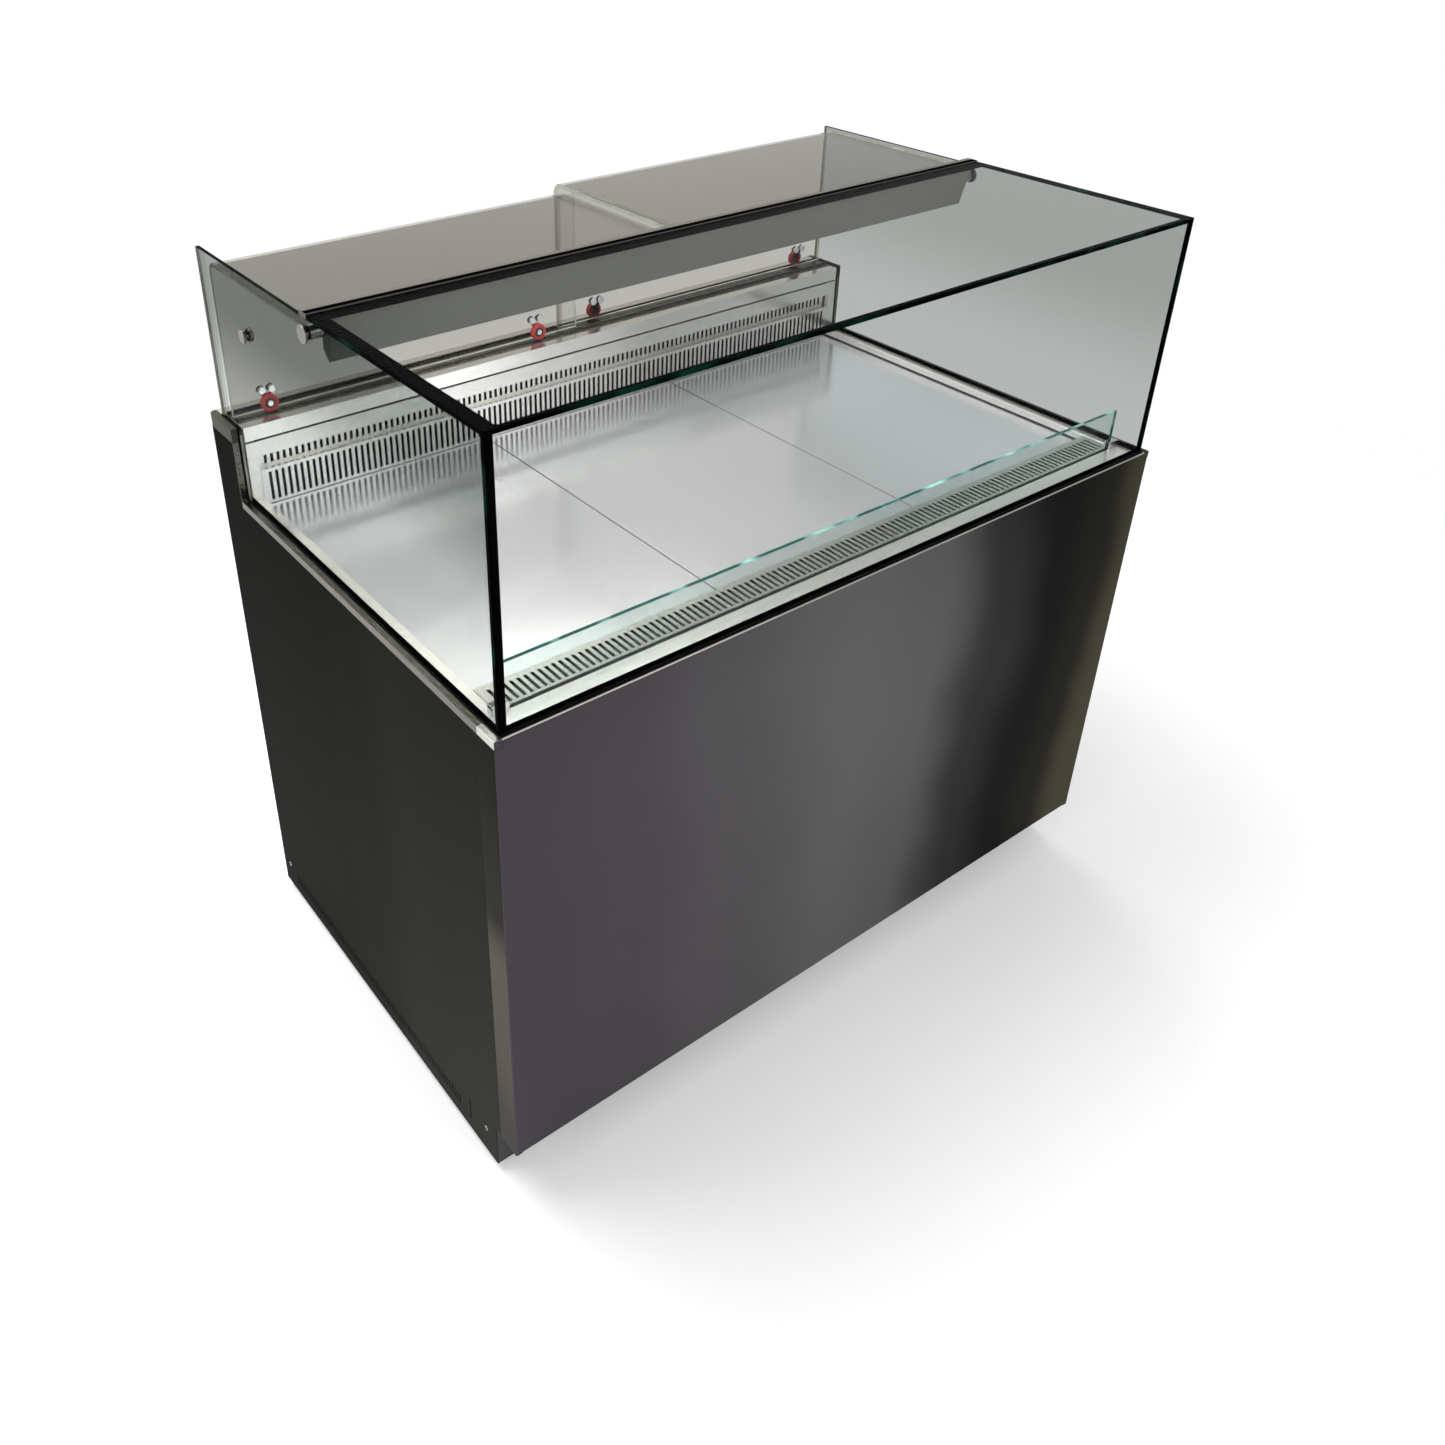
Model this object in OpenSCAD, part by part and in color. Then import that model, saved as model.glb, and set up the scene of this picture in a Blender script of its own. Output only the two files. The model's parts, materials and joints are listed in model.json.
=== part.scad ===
// Refrigerated glass display counter with sliding rear doors.
// The counter stands on z = 0, its front faces -Y and it is centred on X and Y.

/* [Cabinet] */
// Width over the side panels
body_w = 1300; // [1200:10:1400]
// Depth from the front panel to the rear skin
body_d = 823; // [790:1:880]
// Height of the front panel's top edge above the floor
base_top = 881; // [840:1:940]
// Rise of the rear service ledge above the front panel's top edge
ledge_rise = 123; // [110:1:140]
// Depth of the rear service ledge
ledge_d = 92; // [90:1:110]
// Height of the toe recess under the front panel
toe_h = 103; // [90:1:130]
// Setback of the kick plate behind the front panel
toe_d = 60; // [45:1:80]
// Gap between the side panels and the floor
floor_gap = 14; // [10:1:20]
// Thickness of the outer sheet metal
sheet = 1.5; // [1:0.1:2]
// Width of the front panel's returns round the corners
return_w = 42; // [30:1:60]

/* [Trim] */
// Height of the trim profile on top of the side panels
trim_h = 12; // [10:0.5:16]
// Wall of the trim profile
trim_t = 1.5; // [1:0.1:2.5]
// Length of the front trim caps
front_cap_l = 40; // [25:1:60]
// Height of the rear trim caps
rear_cap_h = 23; // [18:1:30]
// Outer corner radius of the rear trim caps
rear_cap_r = 8; // [4:0.5:10]

/* [Side louvres] */
// Height of the louvre slots in the side panels
louvre_h = 22; // [15:1:40]
// Width of one louvre slot
louvre_w = 3; // [2:0.5:4]
// Distance from slot to slot
louvre_pitch = 8; // [6:0.5:12]
// Height of the slots above the side panel's lower edge
louvre_rise = 26; // [20:1:40]
// Distance from the front panel to the first slot
louvre_start = 168; // [120:1:220]
// Distance from the last slot to the rear
louvre_end = 60; // [40:1:100]

/* [Glass case] */
// Rise of the top glass above the front panel's top edge
glass_rise = 397; // [350:1:440]
// Thickness of the panes
glass_t = 6; // [5:0.5:7]
// Inset of the side panes from the side panels' faces
side_inset = 12; // [10:0.5:16]
// Inset of the front pane from the front panel's face
front_inset = 8; // [6:0.5:12]
// Distance of the side panes' rear edges from the rear skin
rear_inset = 25; // [20:1:30]
// Depth of the top pane
top_glass_d = 420; // [360:1:440]
// Rise of the riser pane above the front panel's top edge
riser_rise = 69; // [50:1:90]
// Distance from the front panel's face to the riser pane
riser_y = 47; // [44:1:52]
// Section of the silicone beads
bead = 3; // [2:0.5:4]

/* [Canopy beam and lamp] */
// Width of the beam's top strip
beam_d = 21; // [18:1:26]
// Height of the beam's top strip over the top pane
beam_proud = 2; // [1:0.5:3]
// Wall of the beam's web and door shelves
beam_t = 1.5; // [1:0.1:2]
// Reach of the door shelves behind the web
shelf_d = 16; // [12:1:20]
// Drop of the lamp housing's nose under the side panes' top edge
lamp_drop = 66; // [55:1:80]
// Wall of the lamp housing
lamp_t = 1.2; // [1:0.1:2]
// Distance from the side panes to the lamp housing's ends
standoff_l = 22; // [15:1:35]
// Diameter of the stand-offs that carry the lamp housing
standoff_d = 20; // [16:1:24]
// Diameter of the chromed caps outside the side panes
cap_d = 26; // [20:1:30]
// Diameter of the fixing bolts
bolt_d = 8; // [6:0.5:10]

/* [Sliding doors] */
// Overlap of the two doors at the middle
door_overlap = 30; // [20:1:50]
// Gap between a closed door and the side pane
door_gap = 2; // [1.5:0.5:5]
// Gap between the two doors' panes
door_space = 8; // [7.5:0.5:10]
// Outer radius of the bend between a door's rear and top
door_bend_r = 18; // [14:1:25]
// Distance from a door's outer edge to its roller
outer_inset = 58; // [50:1:70]
// Distance from a door's inner edge to its roller
inner_inset = 86; // [70:1:100]
// Outer diameter of a roller
roller_d = 28; // [25:0.5:30]
// Width of a roller
roller_w = 8; // [7:0.5:9]
// Depth of the groove round a roller
groove_depth = 3; // [2:0.5:3.5]
// Diameter of the roller pins
pin_d = 5; // [4:0.1:6]
// Radial clearance between a pin and its roller
pin_clear = 0.05; // [0.02:0.01:0.1]
// Height of the ribs that the rollers run on
rib_h = 4; // [3.5:0.5:5]
// Width of the ribs
rib_w = 3; // [2.5:0.5:3.5]

/* [Display well] */
// Depth of the deck under the front panel's top edge
deck_drop = 15; // [13:1:25]
// Depth of the insulated tub under its rim
tub_h = 325; // [300:1:360]
// Distance from the side panel's face to the well's inner wall
side_wall = 36; // [33:1:45]
// Thickness of the insulation in the tub's floor
floor_wall = 40; // [30:1:60]
// Thickness of the stainless liner
liner_t = 1; // [0.8:0.1:1.5]
// Thickness of the deck and ledge sheets
deck_t = 1.2; // [1:0.1:2]
// Height of the deck panels' folded edges
deck_edge = 14; // [12:1:18]
// Gap between the deck panels
deck_gap = 1; // [0.6:0.1:2]
// Distance from the front panel's face to the deck
deck_y = 106; // [104:1:115]
// Length of the return grille's slots
grille_slot_l = 35; // [25:1:38]
// Distance between slots in the return grille and in the duct plate
slot_pitch = 10.6; // [8:0.1:14]
// Width of the slots
slot_w = 5; // [3:0.5:6]
// Height of the duct plate's outlet slots
duct_slot_h = 49; // [30:1:50]
// Depth of the air duct behind the duct plate
duct_gap = 28; // [27:1:32]
// Height of the ledge cover's front lip
lip_h = 24; // [18:1:26]
// Height of the nosing under the lip
nosing_h = 26; // [20:1:28]
// Joint between lip and nosing
lip_joint = 3; // [2:0.5:4]
// Height of the recessed outlet band under the nosing
band_h = 24; // [20:1:26]

/* [Cooling] */
// Outer diameter of the evaporator fans
evap_fan_d = 150; // [120:1:170]
// Outer diameter of the condenser fan
cond_fan_d = 230; // [200:1:240]
// Room beside the evaporator coil, for its bends and pipes
evap_side = 84; // [80:1:160]
// Depth of the evaporator coil
evap_d = 132; // [100:1:140]
// Height of the evaporator coil
evap_h = 176; // [140:1:190]
// Room behind the evaporator coil
evap_gap = 63; // [40:1:80]
// Distance from the fans' plate to the coil
fan_gap = 45; // [35:1:60]
// Width of the condenser coil
cond_w = 320; // [280:1:340]
// Height of the condenser coil
cond_h = 280; // [250:1:300]
// Depth of the condenser coil
cond_d = 66; // [44:1:80]
// Distance from fin to fin in the coils
fin_pitch = 22; // [14:1:30]
// Thickness of a fin
fin_t = 0.6; // [0.3:0.1:1]
// Outer diameter of the coil tubes
coil_tube_d = 9.5; // [8:0.5:12]
// Diameter of the compressor shell
comp_d = 170; // [150:1:190]
// Height of the compressor shell
comp_h = 190; // [170:1:220]
// Diameter of the refrigerant pipes
pipe_d = 9.5; // [6:0.5:12]

/* [Frame and feet] */
// Side of the square frame tube
tube = 30; // [25:1:40]
// Wall of the frame tube
tube_t = 2; // [1.5:0.1:3]
// Height of the base frame's lower face above the floor
frame_z = 50; // [40:1:60]
// Diameter of a levelling foot's pad
foot_d = 44; // [36:1:50]
// Diameter of a foot's threaded stem
stem_d = 12; // [8:1:14]

/* [Controls] */
// Width of the control panel
panel_w = 190; // [170:1:220]
// Height of the control panel
panel_h = 76; // [70:1:90]
// Width of a rocker switch
rocker_w = 13; // [11:0.5:16]
// Height of a rocker switch
rocker_h = 21; // [19:0.5:26]
// Tilt of a rocker to either side of its middle
rocker_tilt = 8; // [5:1:12]

/* [Hidden] */
$fn = 48;
seat = 0.3;                       // clearance between a sliding or curved piece and its seat
fit = 0.5;                        // clearance round a pane or plate in its frame

// Cabinet planes
hx = body_w / 2;
yf = -body_d / 2;
yb = body_d / 2;
ledge_top = base_top + ledge_rise;
rim = base_top - trim_h;
rear_rim = ledge_top - trim_h;
cap_z = ledge_top - rear_cap_h;   // lower edge of the rear caps, top of the side panels' raised part
ledge_y = yb - ledge_d;           // front face of the ledge cover and the duct plate
raise_y = ledge_y + 8;            // front of the raised rear part of the sides
skin_x = hx - sheet;              // outer face of the side panels, behind the returns
tub_x = skin_x - sheet;
well_x = hx - side_wall;          // inner face of the liner at the sides
well_y = yf + 54;                 // inner face of the liner at the front
back_y = ledge_y + deck_t + duct_gap;   // inner face of the liner at the rear
tub_z = rim - tub_h;
floor_z = tub_z + floor_wall + liner_t;
shelf_z = base_top - 1;           // top of the front ledge, side ledges and return grille
deck_z = base_top - deck_drop;
bearer_z = deck_z - deck_edge;
bearer_h = 16;

// Glass planes
glass_x = hx - side_inset;        // outer face of the side panes
inner_x = glass_x - glass_t;      // inner face of the side panes
front_y = yf + front_inset;
case_y = front_y + glass_t;       // inner face of the front pane
case_back = yb - rear_inset;
glass_top = base_top + glass_rise;
pane_top = glass_top - glass_t;   // top edge of the side panes, under the top pane
top_back = front_y + top_glass_d; // rear edge of the top pane

// Doors, roller track and canopy beam
web_y = top_back + beam_d;        // rear face of the beam's web
track_z = ledge_top + 1.5;        // top face of the track's base
axle_z = track_z + rib_h + seat + roller_d / 2 - groove_depth;
right_glass_y = case_back - 10 - glass_t;            // outer door, front face of its rear pane
left_glass_y = right_glass_y - door_space - glass_t; // inner door
right_top = pane_top - 4;                            // outer door, top face of its top pane
left_top = right_top - 2 * glass_t;                  // inner door
hanger_t = 1.5;
left_roller_y = left_glass_y - hanger_t - seat - roller_w;
right_roller_y = right_glass_y + glass_t + hanger_t + seat;
door_w = (2 * (inner_x - door_gap) + door_overlap) / 2;
door_bottom = track_z + 3;
door_front = web_y + 3;           // front edge of the doors' top panes
glide_h = 3;
bolt_rise = 20;                   // height of the hanger bolts over the roller's axle
bolt_gap = 16;

// Lamp housing section, from its top front corner to its nose and back to the web
lamp_front = top_back - 11;
nose_y = lamp_front + 16;
nose_z = pane_top - lamp_drop;
lamp_x = inner_x - standoff_l;
fix_y = web_y - 9;
fix_z = pane_top - 22;
stud_y = case_back - 146;
stud_z = pane_top - 92;

// Duct plate bands, from the deck upwards
slot_z = deck_z + 6;
band_z = ledge_top - lip_h - lip_joint - nosing_h - band_h;
nosing_z = band_z + band_h;
nosing_top = nosing_z + nosing_h;
post_w = inner_x - fit - well_x;

// Cooling
evap_rows = 4;
evap_cols = 3;
cond_rows = 8;
cond_cols = 2;
evap_w = 2 * (well_x - evap_side);
evap_y = back_y - evap_gap - evap_d;
fan_y = evap_y - fan_gap;
fan_z = floor_z + 125;
fan_xs = [-well_x * 0.62, 0, well_x * 0.62];
unit_z = frame_z + tube;
comp_x = -hx + 260;
comp_y = 60;
cond_x = 60;
cond_y = yb - 70 - cond_d;
cond_z = unit_z + 20;
cond_fan_z = cond_z + cond_h / 2;
coil_foot = 12;                   // height of the evaporator's feet
grille_x = hx - 40;               // half width of the rear service opening
panel_y = yb - 6;                 // outer face of the service grille
panel_x = grille_x - panel_w / 2 - 30;
panel_z = tub_z - 70;

// ---- helpers ----
module box(a, b) { translate(a) cube(b - a); }
module both() { children(); mirror([1, 0, 0]) children(); }
module along_x(x0, x1) { translate([x0, 0, 0]) rotate([90, 0, 90]) linear_extrude(x1 - x0) children(); }
module rod_x(x0, x1, y, z, d) { translate([x0, y, z]) rotate([0, 90, 0]) cylinder(h = x1 - x0, d = d); }
module rod_y(y0, y1, x, z, d) { translate([x, y0, z]) rotate([-90, 0, 0]) cylinder(h = y1 - y0, d = d); }
module rod_z(z0, z1, x, y, d) { translate([x, y, z0]) cylinder(h = z1 - z0, d = d); }

// Evenly spaced slots between x0 and x1, as 2D shapes from y0 to y1
module slot_row(x0, x1, y0, y1, w, pitch) {
    count = floor((x1 - x0 - w) / pitch) + 1;
    start = (x0 + x1 - (count - 1) * pitch) / 2;
    for (i = [0:count - 1]) translate([start + i * pitch - w / 2, y0]) square([w, y1 - y0]);
}

// Hollow square tube between two corners, open along its axis
module tube_x(x0, x1, y, z) {
    difference() {
        box([x0, y, z], [x1, y + tube, z + tube]);
        box([x0 - 1, y + tube_t, z + tube_t], [x1 + 1, y + tube - tube_t, z + tube - tube_t]);
    }
}
module tube_y(y0, y1, x, z) {
    difference() {
        box([x, y0, z], [x + tube, y1, z + tube]);
        box([x + tube_t, y0 - 1, z + tube_t], [x + tube - tube_t, y1 + 1, z + tube - tube_t]);
    }
}
module tube_z(z0, z1, x, y) {
    difference() {
        box([x, y, z0], [x + tube, y + tube, z1]);
        box([x + tube_t, y + tube_t, z0 - 1], [x + tube - tube_t, y + tube - tube_t, z1 + 1]);
    }
}

// ---- frame and feet ----
frame_x = tub_x - tube;           // outer frame tubes, inner face
frame_y0 = yf + toe_d + sheet;
frame_y1 = panel_y - sheet - tube;
foot_x = tub_x - 80;
foot_y = [frame_y0 + tube - stem_d / 2, frame_y1 + tube / 2];
foot_h = floor_gap - 2;           // the pads pass under the panels' lower edges
module base_frame() {
    color("dimgray") {
        tube_x(-tub_x, tub_x, frame_y0, frame_z);
        tube_x(-tub_x, tub_x, frame_y1, frame_z);
        both() {
            tube_y(frame_y0 + tube, frame_y1, frame_x, frame_z);
            tube_z(frame_z + tube, tub_z, frame_x, frame_y0);
            tube_z(frame_z + tube, tub_z, frame_x, frame_y1);
        }
        for (x = [-hx / 2, 0, hx / 2])
            tube_y(frame_y0 + tube, frame_y1, x - tube / 2, frame_z);
        // rail behind the front panel's lower edge
        tube_x(-tub_x, tub_x, yf + sheet, toe_h + sheet);
        both() tube_y(yf + sheet + tube, frame_y0, frame_x, toe_h + sheet);
    }
}
module levelling_feet() {
    color([0.12, 0.12, 0.12])
        both() for (y = foot_y) {
            translate([foot_x, y, 0]) {
                cylinder(h = foot_h * 0.6, d = foot_d);
                translate([0, 0, foot_h * 0.6])
                    cylinder(h = foot_h * 0.4, d1 = foot_d, d2 = foot_d * 0.6);
                cylinder(h = frame_z, d = stem_d);
                translate([0, 0, frame_z - 8]) cylinder(h = 8, d = stem_d * 2, $fn = 6);
            }
        }
}
module kick_plate() {
    color([0.06, 0.06, 0.06]) {
        box([-tub_x, yf + toe_d, floor_gap], [tub_x, yf + toe_d + sheet, toe_h + sheet]);
        // lower flange, in front of the feet's stems
        box([-tub_x, yf + toe_d + sheet, floor_gap], [tub_x, foot_y[0] - stem_d - 2, floor_gap + sheet]);
    }
}

// ---- outer panels ----
module front_panel() {
    color([0.29, 0.28, 0.3]) {
        difference() {
            box([-hx, yf, toe_h], [hx, yf + sheet, base_top]);
            both() box([hx - side_inset, yf - 1, rim], [hx + 1, yf + sheet + 1, base_top + 1]);
        }
        both() box([skin_x, yf + sheet, toe_h], [hx, yf + return_w, rim]);
        // lip under the front pane, and the lower return
        box([-glass_x, yf + sheet, base_top - sheet], [glass_x, front_y, base_top]);
        box([-tub_x, yf + sheet, toe_h], [tub_x, yf + toe_d / 2, toe_h + sheet]);
    }
}
module side_sheet() {
    // outline of the side with its toe notch and its raised rear part
    rotate([90, 0, 90]) translate([0, 0, tub_x]) linear_extrude(sheet) difference() {
        polygon([[yf + toe_d, floor_gap], [yb - sheet, floor_gap], [yb - sheet, cap_z],
            [raise_y, cap_z], [raise_y, base_top - trim_t], [yf + sheet, base_top - trim_t],
            [yf + sheet, toe_h], [yf + toe_d, toe_h]]);
        slot_row(yf + louvre_start, yb - louvre_end, floor_gap + louvre_rise,
            floor_gap + louvre_rise + louvre_h, louvre_w, louvre_pitch);
        // latching slot in front of the louvres
        translate([yf + louvre_start - 33, floor_gap + louvre_rise]) square([louvre_w, 2 * louvre_h]);
    }
    // folded edge at the floor
    box([tub_x - 12, yf + toe_d + 14, floor_gap], [tub_x, yb - 14, floor_gap + sheet]);
}
module side_panel_right() { color([0.17, 0.17, 0.15]) side_sheet(); }
module side_panel_left() { color([0.17, 0.17, 0.15]) mirror([1, 0, 0]) side_sheet(); }
module rear_skin() {
    color([0.6, 0.6, 0.6])
        box([-skin_x, yb - sheet, tub_z], [skin_x, yb, cap_z]);
}
vent_z0 = toe_h;
vent_gap = 20;
vent_w = 6;
vent_pitch = 18;
vent_h = (panel_z - panel_h / 2 - vent_z0) / 3 - vent_gap;
panel_lap = 8;                    // edge of the control panel behind the grille's cut-out
module service_grille() {
    color([0.3, 0.3, 0.3])
        translate([0, panel_y, 0]) rotate([90, 0, 0]) linear_extrude(sheet) difference() {
            translate([-tub_x, floor_gap]) square([2 * tub_x, tub_z - floor_gap]);
            for (i = [0:2]) slot_row(-grille_x, grille_x, vent_z0 + i * (vent_h + vent_gap),
                vent_z0 + i * (vent_h + vent_gap) + vent_h, vent_w, vent_pitch);
            translate([panel_x - panel_w / 2 + panel_lap, panel_z - panel_h / 2 + panel_lap])
                square([panel_w - 2 * panel_lap, panel_h - 2 * panel_lap]);
        }
}
module side_trims() {
    color([0.55, 0.55, 0.54]) both() {
        along = raise_y - trim_t;
        box([glass_x, yf + front_cap_l, base_top - trim_t], [hx, along, base_top]);
        box([skin_x, yf + front_cap_l, rim], [hx, along, base_top - trim_t]);
        box([glass_x, yf + front_cap_l, rim], [glass_x + trim_t, along, base_top - trim_t]);
        box([glass_x, along, base_top - trim_t], [hx, raise_y, cap_z]);
    }
}
module trim_caps() {
    color([0.75, 0.75, 0.74]) both() {
        difference() {
            box([glass_x, yf, rim], [hx, yf + front_cap_l, base_top]);
            box([glass_x + trim_t, yf + sheet, rim - 1],
                [skin_x, yf + front_cap_l + 1, base_top - trim_t]);
        }
        difference() {
            cap_block(0, cap_z, ledge_top);
            cap_block(trim_t, cap_z - 1, ledge_top - trim_t);
        }
    }
}
// Block with a rear cap's plan and its rounded outer corner, shrunk by inset
module cap_block(inset, z0, z1) {
    r = rear_cap_r - inset;
    translate([0, 0, z0]) linear_extrude(z1 - z0) union() {
        translate([glass_x + inset, raise_y - trim_t + inset])
            square([hx - glass_x - 2 * inset, yb - inset - r - raise_y + trim_t - inset]);
        translate([glass_x + inset, yb - inset - r])
            square([hx - glass_x - 2 * inset - r, r]);
        translate([hx - inset - r, yb - inset - r]) intersection() {
            circle(r = r);
            square([r, r]);
        }
    }
}

// ---- well and deck ----
drain_x = well_x * 0.5;
drain_y = -60;
drain_d = 32;
drop_x = [-well_x + 30, -well_x + 60];   // suction and liquid pipe through the tub's floor
drop_y = evap_y - 12;
module pipe_holes(z0, z1, floor_d) {
    rod_z(z0, z1, drain_x, drain_y, floor_d);
    for (x = drop_x) rod_z(z0, z1, x, drop_y, pipe_d + 4);
}
module insulated_tub() {
    color([0.85, 0.8, 0.62]) difference() {
        union() {
            box([-tub_x, yf + sheet, tub_z], [tub_x, yb - sheet, rim]);
            box([-tub_x, raise_y, rim], [tub_x, yb - sheet, cap_z]);
            box([-glass_x, raise_y, rim], [glass_x, yb - sheet, rear_rim]);
        }
        box([-well_x - liner_t, well_y - liner_t, floor_z - liner_t],
            [well_x + liner_t, back_y + liner_t, rear_rim + 1]);
        pipe_holes(tub_z - 1, floor_z, drain_d + 2 * liner_t + 1);
    }
}
module tub_liner() {
    color([0.75, 0.76, 0.77]) {
        difference() {
            union() {
                box([-well_x - liner_t, well_y - liner_t, floor_z - liner_t],
                    [well_x + liner_t, back_y + liner_t, rim]);
                box([-well_x - liner_t, raise_y, rim], [well_x + liner_t, back_y + liner_t, rear_rim]);
            }
            box([-well_x, well_y, floor_z], [well_x, back_y, rear_rim + 1]);
            pipe_holes(floor_z - 2 * liner_t, floor_z + 1, drain_d);
        }
        // drain spout through the tub's floor
        difference() {
            rod_z(tub_z - 40, floor_z - liner_t, drain_x, drain_y, drain_d + 2 * liner_t);
            rod_z(tub_z - 41, floor_z + 1, drain_x, drain_y, drain_d);
        }
    }
}
bearer_d = 40;
bearer_y = [deck_y + yf - 16, fan_y - 2 * fan_gap, ledge_y - bearer_d - 8];
module deck_bearers() {
    color([0.7, 0.7, 0.7]) for (y = bearer_y)
        along_x(-well_x, well_x) translate([y, bearer_z - bearer_h]) difference() {
            square([bearer_d, bearer_h]);
            translate([deck_t, -1]) square([bearer_d - 2 * deck_t, bearer_h + 1 - deck_t]);
        }
}
deck_w = (2 * (well_x - deck_gap) - 2 * deck_gap) / 3;
deck_y0 = yf + deck_y;
deck_y1 = ledge_y - deck_gap;
module deck_panel(index) {
    x0 = -well_x + deck_gap + index * (deck_w + deck_gap);
    color([0.78, 0.79, 0.8]) difference() {
        box([x0, deck_y0, bearer_z], [x0 + deck_w, deck_y1, deck_z]);
        box([x0 + deck_t, deck_y0 + deck_t, bearer_z - 1],
            [x0 + deck_w - deck_t, deck_y1 - deck_t, deck_z - deck_t]);
    }
}
module deck_panel_left() deck_panel(0);
module deck_panel_centre() deck_panel(1);
module deck_panel_right() deck_panel(2);
module side_ledges() {
    color([0.8, 0.8, 0.8]) both() {
        y0 = yf + riser_y;
        difference() {
            box([well_x, y0, rim], [inner_x - fit, ledge_y - fit, shelf_z]);
            box([well_x + deck_t, y0 - 1, rim - 1],
                [inner_x - fit - deck_t, ledge_y, shelf_z - deck_t]);
        }
    }
}
module front_ledge() {
    color([0.85, 0.85, 0.85]) difference() {
        box([-inner_x + fit, case_y + fit, rim], [inner_x - fit, yf + riser_y - fit, shelf_z]);
        box([-hx, case_y + fit + deck_t, rim - 1], [hx, yf + riser_y - fit - deck_t, shelf_z - deck_t]);
    }
}
grille_y1 = deck_y0 - deck_gap;
module return_grille() {
    slot_y0 = well_y + 5;
    color([0.8, 0.8, 0.8]) {
        translate([0, 0, shelf_z - deck_t]) linear_extrude(deck_t) difference() {
            translate([-well_x + fit, well_y]) square([2 * (well_x - fit), grille_y1 - well_y]);
            slot_row(-well_x + 12, well_x - 12, slot_y0, slot_y0 + grille_slot_l, slot_w, slot_pitch);
        }
        box([-well_x + fit, well_y, rim - 10], [well_x - fit, well_y + deck_t, shelf_z - deck_t]);
        box([-well_x + fit, grille_y1 - deck_t, bearer_z], [well_x - fit, grille_y1, shelf_z - deck_t]);
    }
}
riser_x = well_x - 9;
clip_l = 24;
clip_h = 13;
clip_lap = 6;                     // how far a clip reaches over the pane's end
clip_wall = 3;
module riser_glass() {
    color([0.7, 0.85, 0.8, 0.5])
        box([-riser_x, yf + riser_y, rim], [riser_x, yf + riser_y + glass_t, base_top + riser_rise]);
}
module riser_clips() {
    color([0.85, 0.85, 0.85]) both() difference() {
        box([riser_x - clip_lap, yf + riser_y - clip_wall, shelf_z],
            [riser_x - clip_lap + clip_l, yf + riser_y + glass_t + clip_wall, shelf_z + clip_h]);
        box([riser_x - clip_lap - 1, yf + riser_y - 0.1, shelf_z - 1],
            [riser_x + seat, yf + riser_y + glass_t + 0.1, shelf_z + clip_h + 1]);
    }
}
module duct_plate() {
    color([0.8, 0.8, 0.8]) {
        // lower plate with the outlet slots
        translate([0, ledge_y + deck_t, 0]) rotate([90, 0, 0]) linear_extrude(deck_t) difference() {
            translate([-well_x + fit, bearer_z]) square([2 * (well_x - fit), band_z - bearer_z]);
            slot_row(-well_x + 12, well_x - 12, slot_z, slot_z + duct_slot_h, slot_w, slot_pitch);
        }
        // fold back to the recessed band
        box([-well_x + fit, ledge_y + deck_t, band_z - deck_t], [well_x - fit, ledge_y + 12, band_z]);
        translate([0, ledge_y + 12 + deck_t, 0]) rotate([90, 0, 0]) linear_extrude(deck_t) difference() {
            translate([-well_x + fit, band_z - deck_t]) square([2 * (well_x - fit), nosing_top - band_z]);
            slot_row(-well_x + 12, well_x - 12, band_z + 4, nosing_z - 2, slot_w, slot_pitch);
        }
        // end posts between the plate and the side panes
        both() box([well_x, ledge_y, rim], [well_x + post_w, raise_y, nosing_z]);
    }
}
module ledge_nosing() {
    color([0.72, 0.72, 0.72]) {
        box([-inner_x + fit, ledge_y, nosing_z], [inner_x - fit, ledge_y + deck_t, nosing_top]);
        // cap over the air duct, on the duct plate's top edge
        box([-well_x + fit, ledge_y + deck_t + fit, nosing_top - deck_t],
            [well_x - fit, back_y, nosing_top]);
    }
}
module ledge_cover() {
    cover_x = inner_x - fit;
    color([0.8, 0.79, 0.78]) {
        box([-cover_x, ledge_y, ledge_top - sheet], [cover_x, yb, ledge_top]);
        box([-cover_x, ledge_y, ledge_top - lip_h], [cover_x, ledge_y + sheet, ledge_top - sheet]);
        // behind the side panes the cover reaches out to the caps
        box([-glass_x, case_back + fit, ledge_top - sheet], [glass_x, yb, ledge_top]);
        box([-glass_x, yb - sheet, cap_z], [glass_x, yb, ledge_top - sheet]);
        both() box([cover_x - sheet, raise_y, rear_rim], [cover_x, yb - sheet, ledge_top - sheet]);
        // stiffener on top of the tub's rear wall
        box([-cover_x + sheet, back_y + 12, rear_rim],
            [cover_x - sheet, back_y + 12 + sheet, ledge_top - sheet]);
    }
}
left_rib_y = left_roller_y + roller_w / 2;
right_rib_y = right_roller_y + roller_w / 2;
rib_top = track_z + rib_h;
module door_track() {
    track_x = inner_x - 2;
    color([0.62, 0.62, 0.62]) along_x(-track_x, track_x) {
        translate([left_rib_y - 10, ledge_top])
            square([right_rib_y - left_rib_y + 16, track_z - ledge_top]);
        for (y = [left_rib_y, right_rib_y]) {
            translate([y - rib_w / 2, ledge_top]) square([rib_w, rib_top - rib_w / 2 - ledge_top]);
            translate([y, rib_top - rib_w / 2]) circle(d = rib_w);
        }
    }
}

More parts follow.
